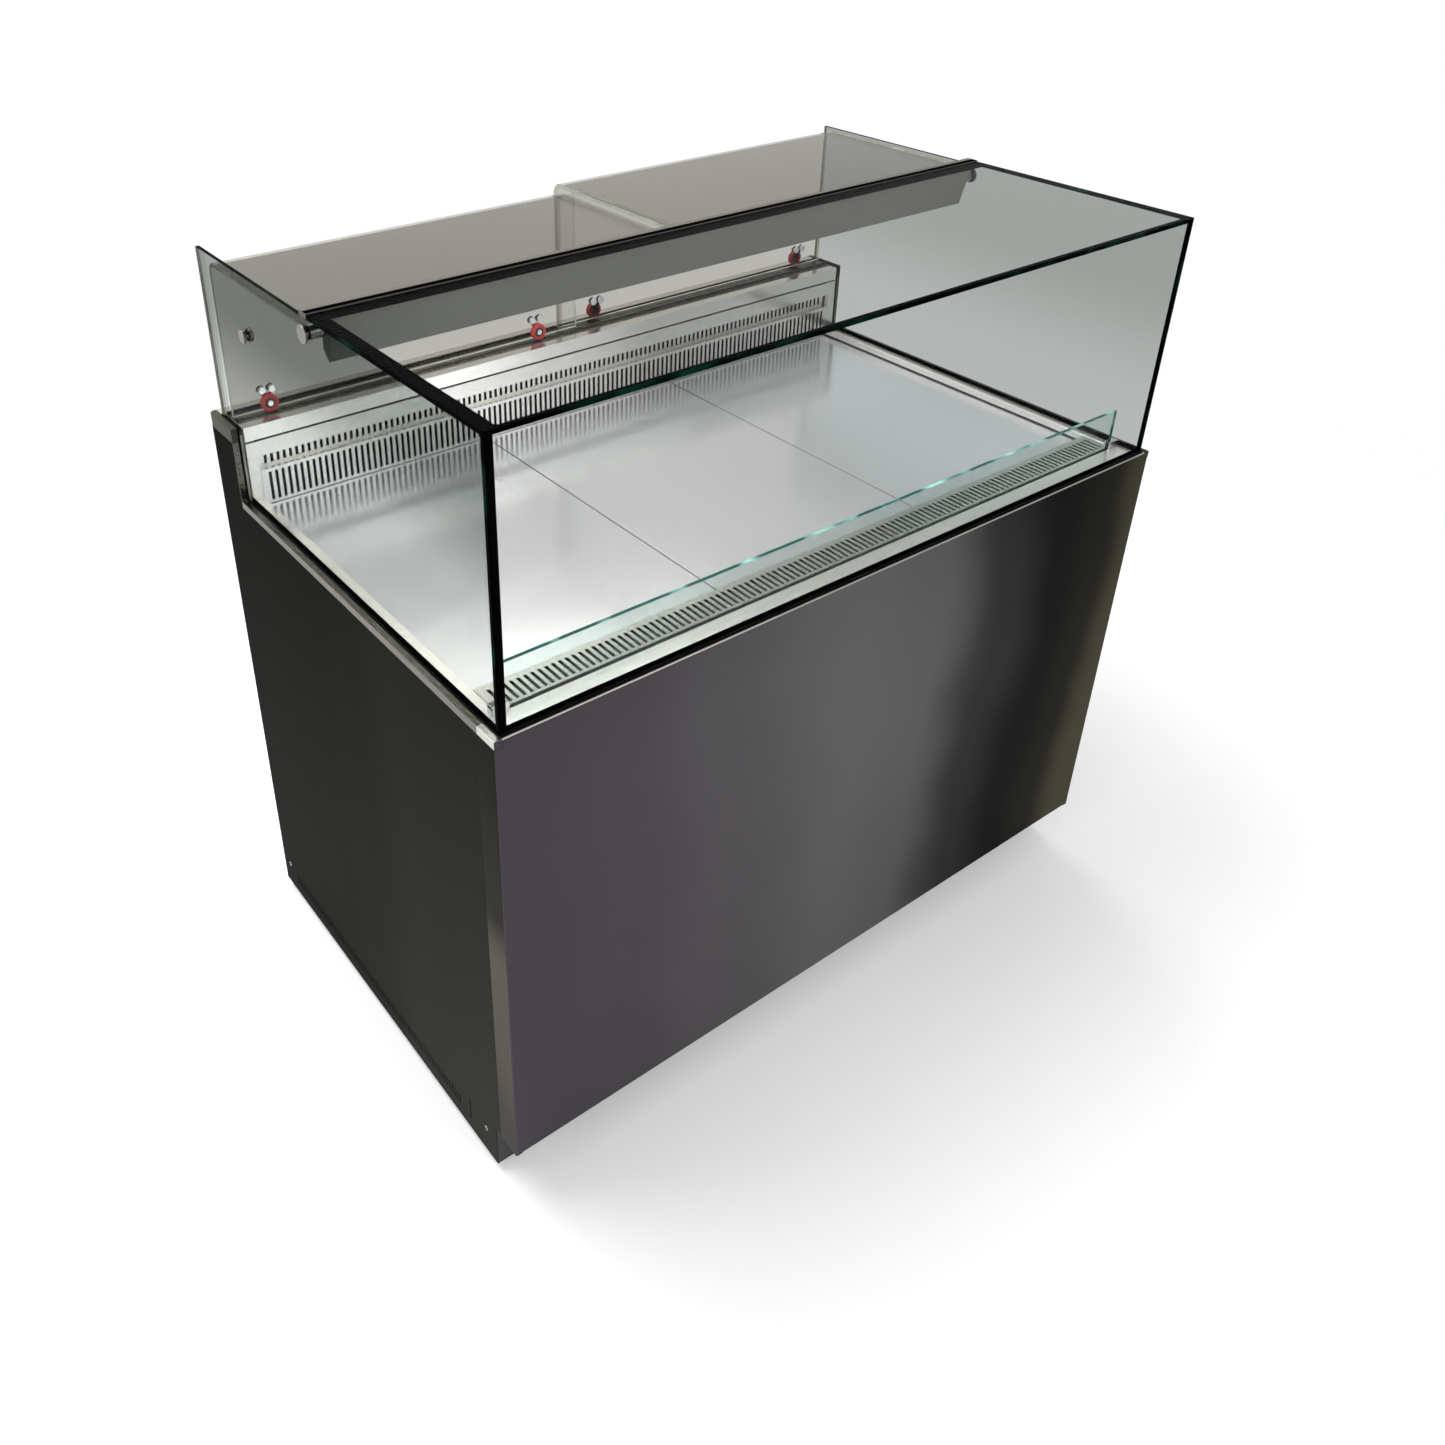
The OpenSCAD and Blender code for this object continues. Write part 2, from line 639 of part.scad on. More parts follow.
// ---- evaporator, fans ----
motor_d = 70;
motor_l = 42;
shaft_d = 8;
fan_hub_d = 46;
fan_depth = 26;
blade_t = 1.8;
blade_tilt = 32;
module fan_plate() {
    hole_d = evap_fan_d + 10;
    color([0.72, 0.73, 0.74]) difference() {
        box([-well_x, fan_y, floor_z], [well_x, fan_y + deck_t, bearer_z - bearer_h - 2]);
        for (x = fan_xs) rod_y(fan_y - 1, fan_y + deck_t + 1, x, fan_z, hole_d);
    }
    // foot of the plate on the liner's floor
    color([0.72, 0.73, 0.74])
        box([-well_x, fan_y + deck_t, floor_z], [well_x, fan_y + 20, floor_z + deck_t]);
}
// Rotor on the Y axis with its hub bored for the motor shaft
module rotor(d, depth, blades, hub_d, bore) {
    blade_l = d / 2 - hub_d / 2 - depth * 0.2;
    difference() {
        union() {
            translate([0, -depth / 2, 0]) rotate([-90, 0, 0]) cylinder(h = depth, d = hub_d);
            for (i = [0:blades - 1]) rotate([0, i * 360 / blades, 0])
                translate([hub_d / 2 - 2, 0, 0]) rotate([blade_tilt, 0, 0])
                    translate([0, -blade_t / 2, -depth * 0.8]) cube([blade_l, blade_t, depth * 1.6]);
        }
        translate([0, -depth, 0]) rotate([-90, 0, 0]) cylinder(h = 2 * depth, d = bore);
    }
}
module evap_rotor(x) {
    color([0.2, 0.2, 0.21]) translate([x, fan_y, fan_z])
        rotor(evap_fan_d, fan_depth, 6, fan_hub_d, shaft_d + 0.1);
}
module evap_fan_left() evap_rotor(fan_xs[0]);
module evap_fan_centre() evap_rotor(fan_xs[1]);
module evap_fan_right() evap_rotor(fan_xs[2]);
module motor_on_plate(x, y, z, body_d, body_l, hole_d) {
    // body on the plate's front, carried by three arms that reach the plate
    y0 = y - 20 - body_l;
    rod_y(y0, y0 + body_l, x, z, body_d);
    rod_y(y0 + body_l, y + 12, x, z, shaft_d);
    for (a = [90, 210, 330]) translate([x, 0, z]) rotate([0, a, 0]) {
        box([body_d / 2 - 3, y0 + 6, -5], [hole_d / 2 + 8, y0 + 9, 5]);
        box([hole_d / 2 + 5, y0 + 9, -5], [hole_d / 2 + 8, y, 5]);
    }
}
module evap_fan_motors() {
    color([0.15, 0.15, 0.16]) for (x = fan_xs)
        motor_on_plate(x, fan_y, fan_z, motor_d, motor_l, evap_fan_d + 10);
}
// Finned coil: fins stand across X, tubes run along X with bends at the ends
module coil(w, d, h, rows, cols) {
    tube_r = coil_tube_d / 2;
    count = floor(w / fin_pitch);
    pitch_z = h / rows;
    pitch_y = d / cols;
    for (i = [0:count]) along_x(-w / 2 + i * w / count - fin_t / 2, -w / 2 + i * w / count + fin_t / 2)
        difference() {
            square([d, h]);
            for (r = [0:rows - 1], c = [0:cols - 1])
                translate([(c + 0.5) * pitch_y, (r + 0.5) * pitch_z]) circle(r = tube_r + 0.1);
        }
    for (r = [0:rows - 1], c = [0:cols - 1])
        rod_x(-w / 2 - coil_end, w / 2 + coil_end, (c + 0.5) * pitch_y, (r + 0.5) * pitch_z, coil_tube_d);
    // return bends joining the tubes in pairs
    for (c = [0:cols - 1], r = [0:2:rows - 2])
        translate([w / 2 + coil_end, (c + 0.5) * pitch_y, (r + 1) * pitch_z]) bend(pitch_z / 2, tube_r);
    for (c = [0:cols - 1], r = [1:2:rows - 2])
        translate([-w / 2 - coil_end, (c + 0.5) * pitch_y, (r + 1) * pitch_z])
            mirror([1, 0, 0]) bend(pitch_z / 2, tube_r);
}
// Square headers across the open ends at a coil's first and last row
module headers(w, d, h, rows) {
    for (z = [h / rows / 2, h - h / rows / 2])
        box([-w / 2 - coil_end - header_d / 2, d * 0.1, z - header_d / 2],
            [-w / 2 - coil_end + header_d / 2, d * 0.9, z + header_d / 2]);
}
header_d = coil_tube_d * 1.3;
coil_end = 8;                     // length of straight tube past the last fin
module bend(r, tube_r) {
    rotate([90, 0, 0]) rotate([0, 0, -90])
        rotate_extrude(angle = 180) translate([r, 0]) circle(r = tube_r);
}
module evaporator_coil() {
    color([0.75, 0.77, 0.78]) {
        translate([0, evap_y, floor_z + coil_foot]) {
            coil(evap_w, evap_d, evap_h, evap_rows, evap_cols);
            headers(evap_w, evap_d, evap_h, evap_rows);
        }
        // feet under the coil
        for (s = [-1, 1]) box([s * evap_w * 0.4 - 15, evap_y, floor_z],
            [s * evap_w * 0.4 + 15, evap_y + evap_d, floor_z + coil_foot]);
    }
}

// ---- glass case ----
module side_pane() {
    step_y = raise_y - fit - trim_t;
    along_x(inner_x, glass_x) polygon([[case_y, rim], [step_y, rim], [step_y, rear_rim],
        [case_back, rear_rim], [case_back, pane_top], [case_y, pane_top]]);
}
module pane_holes() {
    rod_x(inner_x - 1, glass_x + 1, fix_y, fix_z, bolt_d + 1);
    rod_x(inner_x - 1, glass_x + 1, stud_y, stud_z, bolt_d + 1);
}
module side_glass_right() { color([0.7, 0.85, 0.8, 0.4]) difference() { side_pane(); pane_holes(); } }
module side_glass_left() { mirror([1, 0, 0]) side_glass_right(); }
module front_glass() {
    color([0.7, 0.85, 0.8, 0.4]) box([-glass_x, front_y, rim], [glass_x, case_y, pane_top]);
}
module top_glass() {
    color([0.7, 0.85, 0.8, 0.4]) box([-glass_x, front_y, pane_top], [glass_x, top_back, glass_top]);
}
module glass_beads() {
    color([0.04, 0.05, 0.05]) {
        box([-inner_x, case_y, shelf_z], [inner_x, case_y + bead, shelf_z + bead]);
        both() box([inner_x - bead, case_y + bead, shelf_z], [inner_x, ledge_y - fit, shelf_z + bead]);
    }
}
shelf_right_z = right_top - glass_t - glide_h - seat;
shelf_left_z = left_top - glass_t - glide_h - seat;
module canopy_beam() {
    web_x = lamp_x - 1;
    color([0.25, 0.24, 0.22]) {
        box([-glass_x, top_back, pane_top], [glass_x, web_y, glass_top + beam_proud]);
        box([-web_x, web_y - beam_t, shelf_left_z - beam_t], [web_x, web_y, pane_top]);
        for (z = [shelf_right_z, shelf_left_z])
            box([-web_x, web_y, z - beam_t], [web_x, web_y + shelf_d, z]);
    }
}
lamp_top = pane_top - seat;
module lamp_section() {
    polygon([[lamp_front, lamp_top], [nose_y, nose_z], [web_y - beam_t - 1, nose_z + 14],
        [web_y - beam_t - 1, lamp_top]]);
}
module lamp_housing() {
    color([0.37, 0.37, 0.37]) {
        along_x(-lamp_x + lamp_t, lamp_x - lamp_t) {
            // bent sheet: top flange, sloping front, lower lip
            polygon([[web_y - beam_t, lamp_top], [lamp_front, lamp_top], [nose_y, nose_z],
                [nose_y + 8, nose_z + 5], [nose_y + 8, nose_z + 5 + lamp_t],
                [nose_y + 1, nose_z + 2 * lamp_t], [lamp_front + lamp_t, lamp_top - lamp_t],
                [web_y - beam_t, lamp_top - lamp_t]]);
        }
        both() difference() {
            along_x(lamp_x - lamp_t, lamp_x) lamp_section();
            rod_x(lamp_x - 5, lamp_x + 5, fix_y, fix_z, bolt_d + 0.2);
        }
    }
}
module led_lamp() {
    // channel on the beam's web with a round diffuser along its front
    lamp_y = web_y - beam_t;
    lamp_z = shelf_left_z + 2;
    end_x = lamp_x - 30;
    color([0.95, 0.95, 0.9]) {
        box([-end_x, lamp_y - 8, lamp_z], [end_x, lamp_y, lamp_z + 12]);
        rod_x(4 - end_x, end_x - 4, lamp_y - 8, lamp_z + 6, 10);
    }
}
module glass_fixings() {
    color([0.6, 0.6, 0.6]) both() {
        // stand-off that carries the lamp housing
        rod_x(lamp_x, inner_x, fix_y, fix_z, standoff_d);
        rod_x(lamp_x - lamp_t - 6, lamp_x, fix_y, fix_z, bolt_d);
        rod_x(inner_x, glass_x, fix_y, fix_z, bolt_d);
        rod_x(glass_x, glass_x + 4, fix_y, fix_z, cap_d);
        // stud through the rear of the side pane
        rod_x(inner_x - 6, inner_x, stud_y, stud_z, standoff_d);
        rod_x(inner_x, glass_x, stud_y, stud_z, bolt_d);
        rod_x(glass_x, glass_x + 5, stud_y, stud_z, standoff_d);
    }
}

// ---- sliding doors ----
// Bent pane: rear face at y, top face at z, with two holes at each of its rollers
module door_pane(x0, x1, y, z, rollers) {
    r = door_bend_r;
    difference() {
        along_x(x0, x1) {
            translate([y, door_bottom]) square([glass_t, z - r - door_bottom]);
            translate([door_front, z - glass_t]) square([y + glass_t - r - door_front, glass_t]);
            translate([y + glass_t - r, z - r]) intersection() {
                difference() {
                    circle(r = r);
                    circle(r = r - glass_t);
                }
                square([r, r]);
            }
        }
        for (x = rollers, s = [-1, 1])
            rod_y(y - 1, y + glass_t + 1, x + s * bolt_gap / 2, axle_z + bolt_rise, bolt_d + 0.4);
    }
}
left_x0 = -inner_x + door_gap;
left_x1 = left_x0 + door_w;
left_rollers = [left_x0 + outer_inset, left_x1 - inner_inset];
right_rollers = [-left_rollers[1], -left_rollers[0]];
module door_glass_left() {
    color([0.72, 0.85, 0.8, 0.4])
        door_pane(left_x0, left_x1, left_glass_y, left_top, left_rollers);
}
module door_glass_right() {
    color([0.72, 0.85, 0.8, 0.4])
        door_pane(-left_x1, -left_x0, right_glass_y, right_top, right_rollers);
}
// Hanger: Y-shaped plate, two bolts through the pane and the roller's pin.
// It is drawn with the pane behind it, on +Y; dir = -1 turns it round.
module hanger(x, y, dir) {
    translate([x, y, axle_z]) turned(dir) {
        rotate([90, 0, 0]) linear_extrude(hanger_t) {
            circle(d = 13);
            for (s = [-1, 1]) {
                translate([s * bolt_gap / 2, bolt_rise]) circle(d = 13);
                rotate([0, 0, -s * atan(bolt_gap / 2 / bolt_rise)])
                    translate([-4.5, 0]) square([9, bolt_rise]);
            }
        }
        for (s = [-1, 1]) {
            rod_y(0, glass_t, s * bolt_gap / 2, bolt_rise, bolt_d);
            rod_y(-hanger_t - 2.5, -hanger_t, s * bolt_gap / 2, bolt_rise, bolt_d + 3);
            rod_y(glass_t, glass_t + 2, s * bolt_gap / 2, bolt_rise, bolt_d + 5);
        }
        rod_y(-hanger_t - seat - roller_w - 0.2, -hanger_t, 0, 0, pin_d);
        rod_y(-hanger_t - seat - roller_w - 1.8, -hanger_t - seat - roller_w - 0.2, 0, 0, pin_d + 4);
    }
}
module turned(dir) { mirror([0, dir < 0 ? 1 : 0, 0]) children(); }
module glides(x0, x1, z) {
    for (x = [x0 + 40, x1 - 70])
        box([x, door_front, z - glass_t - glide_h], [x + 30, door_front + 12, z - glass_t]);
}
module door_hardware_left() {
    color([0.8, 0.81, 0.82]) {
        for (x = left_rollers) hanger(x, left_glass_y, 1);
        glides(left_x0, left_x1, left_top);
    }
}
module door_hardware_right() {
    color([0.8, 0.81, 0.82]) {
        for (x = right_rollers) hanger(x, right_glass_y + glass_t, -1);
        glides(-left_x1, -left_x0, right_top);
    }
}
module roller(x, y) {
    color([0.72, 0.12, 0.12]) translate([x, y, axle_z]) rotate([-90, 0, 0]) difference() {
        cylinder(h = roller_w, d = roller_d);
        translate([0, 0, -1]) cylinder(h = roller_w + 2, r = pin_d / 2 + pin_clear);
        translate([0, 0, roller_w / 2 - rib_w / 2 - seat]) difference() {
            cylinder(h = rib_w + 2 * seat, d = roller_d + 2);
            cylinder(h = rib_w + 2 * seat, d = roller_d - 2 * groove_depth);
        }
    }
}
module roller_left_outer() roller(left_rollers[0], left_roller_y);
module roller_left_inner() roller(left_rollers[1], left_roller_y);
module roller_right_inner() roller(right_rollers[0], right_roller_y);
module roller_right_outer() roller(right_rollers[1], right_roller_y);

// ---- condensing unit ----
plate_x0 = -hx + 90;
plate_x1 = hx / 2 + 90;
module unit_base() {
    color([0.1, 0.1, 0.1]) difference() {
        box([plate_x0, frame_y0 + 120, unit_z], [plate_x1, frame_y1 - 2, unit_z + 18]);
        box([plate_x0 + 2, frame_y0 + 122, unit_z + 2], [plate_x1 - 2, frame_y1 - 4, unit_z + 19]);
    }
}
floor_unit = unit_z + 2;
module compressor() {
    r = comp_d / 2;
    dome = r * 0.55;
    color([0.05, 0.05, 0.05]) translate([comp_x, comp_y, floor_unit]) {
        // shell: waisted drum with domed ends
        translate([0, 0, 22]) rotate_extrude() difference() {
            union() {
                translate([0, dome * 0.5]) square([r, comp_h - dome * 1.4]);
                translate([0, dome * 0.5]) intersection() {
                    translate([r - dome * 0.5, 0]) circle(r = dome * 0.5);
                    translate([0, -dome * 0.5]) square([r, dome * 0.5]);
                }
                square([r - dome * 0.5, dome]);
                translate([0, comp_h - dome * 0.9]) intersection() {
                    translate([r - dome * 0.9, 0]) circle(r = dome * 0.9);
                    square([r, dome]);
                }
                translate([0, comp_h - dome]) square([r - dome * 0.9, dome]);
            }
            translate([-r, -1]) square([r, comp_h + 2]);
        }
        translate([0, 0, comp_h * 0.5 + 18]) cylinder(h = 5, r = r + 3);
        // mounting plate on four rubber feet
        translate([-r - 15, -r * 0.7, 14]) cube([2 * r + 30, 1.4 * r, 8.5]);
        for (x = [-1, 1], y = [-1, 1])
            translate([x * (r + 2), y * r * 0.52, 0]) cylinder(h = 14.2, d = 24);
        // terminal box
        translate([-28, -r - 26, comp_h * 0.4]) cube([56, 30, 62]);
    }
}
module condenser_coil() {
    color([0.3, 0.3, 0.31]) {
        translate([cond_x, cond_y, cond_z]) {
            coil(cond_w, cond_d, cond_h, cond_rows, cond_cols);
            // crossover from one column to the other at the top row
            translate([-cond_w / 2 - coil_end, cond_d / 2, cond_h * (1 - 0.5 / cond_rows)])
                mirror([1, 0, 0]) rotate([90, 0, 0]) bend(cond_d / cond_cols / 2, coil_tube_d / 2);
        }
        for (s = [-1, 1]) box([cond_x + s * cond_w * 0.35 - 10, cond_y, floor_unit],
            [cond_x + s * cond_w * 0.35 + 10, cond_y + cond_d, cond_z]);
    }
}
shroud_y = cond_y - 14;
module fan_shroud() {
    hole_d = cond_fan_d + 14;
    color([0.12, 0.12, 0.12]) {
        difference() {
            box([cond_x - cond_w / 2, shroud_y, floor_unit],
                [cond_x + cond_w / 2, shroud_y + 2, cond_z + cond_h]);
            rod_y(shroud_y - 1, shroud_y + 3, cond_x, cond_fan_z, hole_d);
        }
        for (s = [-1, 1]) box([cond_x + s * cond_w / 2 - (s > 0 ? 2 : 0), shroud_y + 2, cond_z],
            [cond_x + s * cond_w / 2 + (s > 0 ? 0 : 2), cond_y - 1, cond_z + cond_h]);
        motor_on_plate(cond_x, shroud_y, cond_fan_z, 90, 60, hole_d);
    }
}
module condenser_fan() {
    color([0.75, 0.76, 0.77]) translate([cond_x, shroud_y - 2, cond_fan_z])
        rotor(cond_fan_d, 30, 5, 60, shaft_d + 0.1);
}
drier_d = 22;
drier_l = 110;
drier_rise = 90;
// Pipe through a list of points, with brazed elbows at its corners
module pipe(points, d) {
    for (i = [0:len(points) - 2]) {
        v = points[i + 1] - points[i];
        l = norm(v);
        translate(points[i]) rotate([0, acos(v[2] / l), atan2(v[1], v[0])]) cylinder(h = l, d = d);
        if (i > 0) translate(points[i]) sphere(d = d * 1.3);
    }
}
module refrigerant_pipes() {
    liquid_d = pipe_d * 0.68;
    // where the coils' tubes end
    evap_end = -evap_w / 2 - coil_end - header_d / 2;
    cond_end = cond_x - cond_w / 2 - coil_end;
    evap_in_y = evap_y + evap_d / 2 / evap_cols;
    suction_z = floor_z + coil_foot + evap_h * (1 - 0.5 / evap_rows);
    liquid_z = floor_z + coil_foot + evap_h * 0.5 / evap_rows;
    cond_in_y = cond_y + cond_d * 0.75;
    cond_out_y = cond_y + cond_d * 0.25;
    cond_row_z = cond_z + cond_h * 0.5 / cond_rows;
    shell_x = comp_d / 2 + seat;
    shell_z = floor_unit + comp_h * 0.6;
    hot_x = comp_x + shell_x + 20;
    drier_x = cond_end - 50;
    cross_z = tub_z - 60;
    color([0.72, 0.42, 0.27]) {
        // suction: evaporator, down through the tub, to the compressor's shell
        pipe([[evap_end, evap_in_y, suction_z], [drop_x[0], evap_in_y, suction_z],
            [drop_x[0], drop_y, suction_z], [drop_x[0], drop_y, shell_z + 40],
            [drop_x[0], comp_y, shell_z + 40], [comp_x - shell_x, comp_y, shell_z + 40]], pipe_d);
        // discharge: compressor to the condenser's rear column
        pipe([[comp_x + shell_x, comp_y, shell_z - 30], [hot_x, comp_y, shell_z - 30],
            [hot_x, comp_y, cond_row_z], [hot_x, cond_in_y, cond_row_z],
            [cond_end, cond_in_y, cond_row_z]], liquid_d);
        // liquid: condenser, filter drier, up through the tub to the evaporator
        pipe([[cond_end, cond_out_y, cond_row_z], [drier_x, cond_out_y, cond_row_z],
            [drier_x, cond_out_y, cross_z], [drop_x[1], drop_y, cross_z], [drop_x[1], drop_y, liquid_z],
            [drop_x[1], evap_in_y, liquid_z], [evap_end, evap_in_y, liquid_z]], liquid_d);
        rod_z(cond_z + drier_rise, cond_z + drier_rise + drier_l, drier_x, cond_out_y, drier_d);
    }
}
tray_w = 180;
tray_d = 200;
tray_h = 60;
tray_t = 3;
tray_y = drain_y - 110;
module condensate_tray() {
    color([0.15, 0.15, 0.15]) difference() {
        box([drain_x - tray_w / 2, tray_y, floor_unit],
            [drain_x + tray_w / 2, tray_y + tray_d, floor_unit + tray_h]);
        box([drain_x - tray_w / 2 + tray_t, tray_y + tray_t, floor_unit + tray_t],
            [drain_x + tray_w / 2 - tray_t, tray_y + tray_d - tray_t, floor_unit + tray_h + 1]);
    }
    // hose from the drain spout down into the tray
    color([0.3, 0.3, 0.3]) difference() {
        rod_z(floor_unit + tray_t, tub_z - 8, drain_x, drain_y, drain_d + 2 * liner_t + 6);
        rod_z(floor_unit + 2, tub_z - 7, drain_x, drain_y, drain_d + 2 * liner_t + seat);
    }
}

// ---- controls on the service side ----
inlet_w = 28;
inlet_h = 22;
inlet_x = panel_x + panel_w / 2 - 34;
rocker_x = [panel_x + panel_w / 2 - 74, panel_x + panel_w / 2 - 92];
ctrl_w = 71;
ctrl_h = 29;
ctrl_x = panel_x - panel_w / 2 + 14 + ctrl_w / 2;
panel_face = panel_y - sheet - 2;
rocker_pin = 2.4;
rocker_y = panel_face - 1;        // axis of the rockers
rocker_out = 6;                   // reach of a rocker's face over its axis
cheek_t = 1.5;
module panel_hole(x, w, h) {
    box([x - w / 2, panel_face - 1, panel_z - h / 2], [x + w / 2, panel_face + 3, panel_z + h / 2]);
}
module control_panel() {
    color([0.1, 0.1, 0.1]) difference() {
        union() {
            box([panel_x - panel_w / 2, panel_face, panel_z - panel_h / 2],
                [panel_x + panel_w / 2, panel_face + 2, panel_z + panel_h / 2]);
            // box behind the panel
            difference() {
                box([panel_x - panel_w / 2, panel_face - 80, panel_z - panel_h / 2],
                    [panel_x + panel_w / 2, panel_face, panel_z + panel_h / 2]);
                box([panel_x - panel_w / 2 + 2, panel_face - 78, panel_z - panel_h / 2 + 2],
                    [panel_x + panel_w / 2 - 2, panel_face + 1, panel_z + panel_h / 2 - 2]);
            }
        }
        panel_hole(ctrl_x, ctrl_w, ctrl_h);
        for (x = rocker_x) panel_hole(x, rocker_w + 0.6, rocker_h + 0.6);
        panel_hole(inlet_x, inlet_w, inlet_h);
    }
    // cheeks that hold each rocker on its cross pin
    color([0.1, 0.1, 0.1]) for (x = rocker_x) {
        cheek_x = rocker_w / 2 + seat;
        for (s = [-1, 1]) box([x + s * (cheek_x + cheek_t / 2) - cheek_t / 2, rocker_y - 6, panel_z - 8],
            [x + s * (cheek_x + cheek_t / 2) + cheek_t / 2, panel_face, panel_z + 8]);
        rod_x(x - cheek_x - cheek_t, x + cheek_x + cheek_t, rocker_y, panel_z, rocker_pin);
    }
}
module controller() {
    color([0.08, 0.08, 0.09]) {
        box([ctrl_x - ctrl_w / 2, panel_face - 55, panel_z - ctrl_h / 2],
            [ctrl_x + ctrl_w / 2, panel_face + 2, panel_z + ctrl_h / 2]);
        box([ctrl_x - ctrl_w / 2 - 3, panel_face + 2, panel_z - ctrl_h / 2 - 3],
            [ctrl_x + ctrl_w / 2 + 3, panel_face + 4.5, panel_z + ctrl_h / 2 + 3]);
    }
}
// Drum segment with a shallow V across its face, on its cross pin
module rocker(x) {
    r = rocker_h / 2;
    color([0.75, 0.1, 0.1]) difference() {
        translate([0, rocker_y, panel_z]) along_x(x - rocker_w / 2, x + rocker_w / 2)
            rotate(rocker_tilt) intersection() {
                circle(r = r);
                polygon([[-5, -r], [rocker_out, -r], [rocker_out - 1.5, 0], [rocker_out, r], [-5, r]]);
            }
        rod_x(x - rocker_w, x + rocker_w, rocker_y, panel_z, rocker_pin + 2 * pin_clear);
    }
}
module power_rocker() rocker(rocker_x[0]);
module light_rocker() rocker(rocker_x[1]);
module mains_inlet() {
    color([0.06, 0.06, 0.06]) difference() {
        union() {
            box([inlet_x - inlet_w / 2, panel_face - 24, panel_z - inlet_h / 2],
                [inlet_x + inlet_w / 2, panel_face + 2, panel_z + inlet_h / 2]);
            // flange with its two fixing ears
            box([inlet_x - inlet_w / 2 - 10, panel_face + 2, panel_z - inlet_h / 2 - 3],
                [inlet_x + inlet_w / 2 + 10, panel_face + 4.5, panel_z + inlet_h / 2 + 3]);
        }
        box([inlet_x - inlet_w / 2 + 2, panel_face - 18, panel_z - inlet_h / 2 + 3],
            [inlet_x + inlet_w / 2 - 2, panel_face + 5, panel_z + inlet_h / 2 - 3]);
    }
    // three pins, the middle one higher
    color([0.8, 0.8, 0.75]) for (x = [-7, 0, 7]) {
        pin_z = panel_z + (x == 0 ? 3 : -1);
        box([inlet_x + x - 1, panel_face - 18, pin_z - 2],
            [inlet_x + x + 1, panel_face - 1, pin_z + 2]);
    }
}

base_frame();
levelling_feet();
kick_plate();
front_panel();
side_panel_left();
side_panel_right();
rear_skin();
service_grille();
side_trims();
trim_caps();
insulated_tub();
tub_liner();
deck_bearers();
deck_panel_left();
deck_panel_centre();
deck_panel_right();
side_ledges();
front_ledge();
return_grille();
riser_glass();
riser_clips();
duct_plate();
ledge_nosing();
ledge_cover();
door_track();
fan_plate();
evaporator_coil();
evap_fan_left();
evap_fan_centre();
evap_fan_right();
evap_fan_motors();
side_glass_left();
side_glass_right();
front_glass();
top_glass();
glass_beads();
canopy_beam();
lamp_housing();
led_lamp();
glass_fixings();
door_glass_left();
door_glass_right();
door_hardware_left();
door_hardware_right();
roller_left_outer();
roller_left_inner();
roller_right_inner();
roller_right_outer();
unit_base();
compressor();
condenser_coil();
fan_shroud();
condenser_fan();
refrigerant_pipes();
condensate_tray();
control_panel();
controller();
power_rocker();
light_rocker();
mains_inlet();
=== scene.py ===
import json
import math
import bmesh
import bpy
from mathutils import Matrix, Vector

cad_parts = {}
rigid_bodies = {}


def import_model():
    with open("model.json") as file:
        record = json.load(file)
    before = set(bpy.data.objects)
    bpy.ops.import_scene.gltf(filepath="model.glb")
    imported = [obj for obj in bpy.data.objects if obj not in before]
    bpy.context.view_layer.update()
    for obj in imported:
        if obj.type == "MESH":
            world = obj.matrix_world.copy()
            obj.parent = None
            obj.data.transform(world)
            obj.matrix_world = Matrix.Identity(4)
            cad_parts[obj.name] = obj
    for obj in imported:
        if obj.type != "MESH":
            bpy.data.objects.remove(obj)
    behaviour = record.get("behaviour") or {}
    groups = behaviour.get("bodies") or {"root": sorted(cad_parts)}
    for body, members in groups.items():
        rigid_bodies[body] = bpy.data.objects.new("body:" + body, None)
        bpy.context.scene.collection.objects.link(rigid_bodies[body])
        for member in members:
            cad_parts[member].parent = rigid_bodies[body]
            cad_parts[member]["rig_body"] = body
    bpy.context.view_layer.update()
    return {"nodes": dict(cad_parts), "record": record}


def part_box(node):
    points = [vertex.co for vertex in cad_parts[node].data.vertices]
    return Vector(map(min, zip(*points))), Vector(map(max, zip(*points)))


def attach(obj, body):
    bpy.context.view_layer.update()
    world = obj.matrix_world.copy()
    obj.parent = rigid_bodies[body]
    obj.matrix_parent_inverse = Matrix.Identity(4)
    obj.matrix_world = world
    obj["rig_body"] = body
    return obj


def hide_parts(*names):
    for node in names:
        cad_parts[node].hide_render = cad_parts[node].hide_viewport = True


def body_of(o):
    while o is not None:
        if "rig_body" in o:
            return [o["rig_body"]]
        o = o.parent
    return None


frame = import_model()

nodes = frame["nodes"]
slotOf = {part["node"]: part["material_slot"] for part in frame["record"]["subparts"]}
mm = 0.001


# Working with objects

def deselect():
    if bpy.context.mode != "OBJECT":
        bpy.ops.object.mode_set(mode="OBJECT")
    bpy.ops.object.select_all(action="DESELECT")


def pick(piece):
    deselect()
    bpy.context.view_layer.objects.active = piece
    piece.select_set(True)
    return piece


def edit(piece):
    pick(piece)
    bpy.ops.object.mode_set(mode="EDIT")


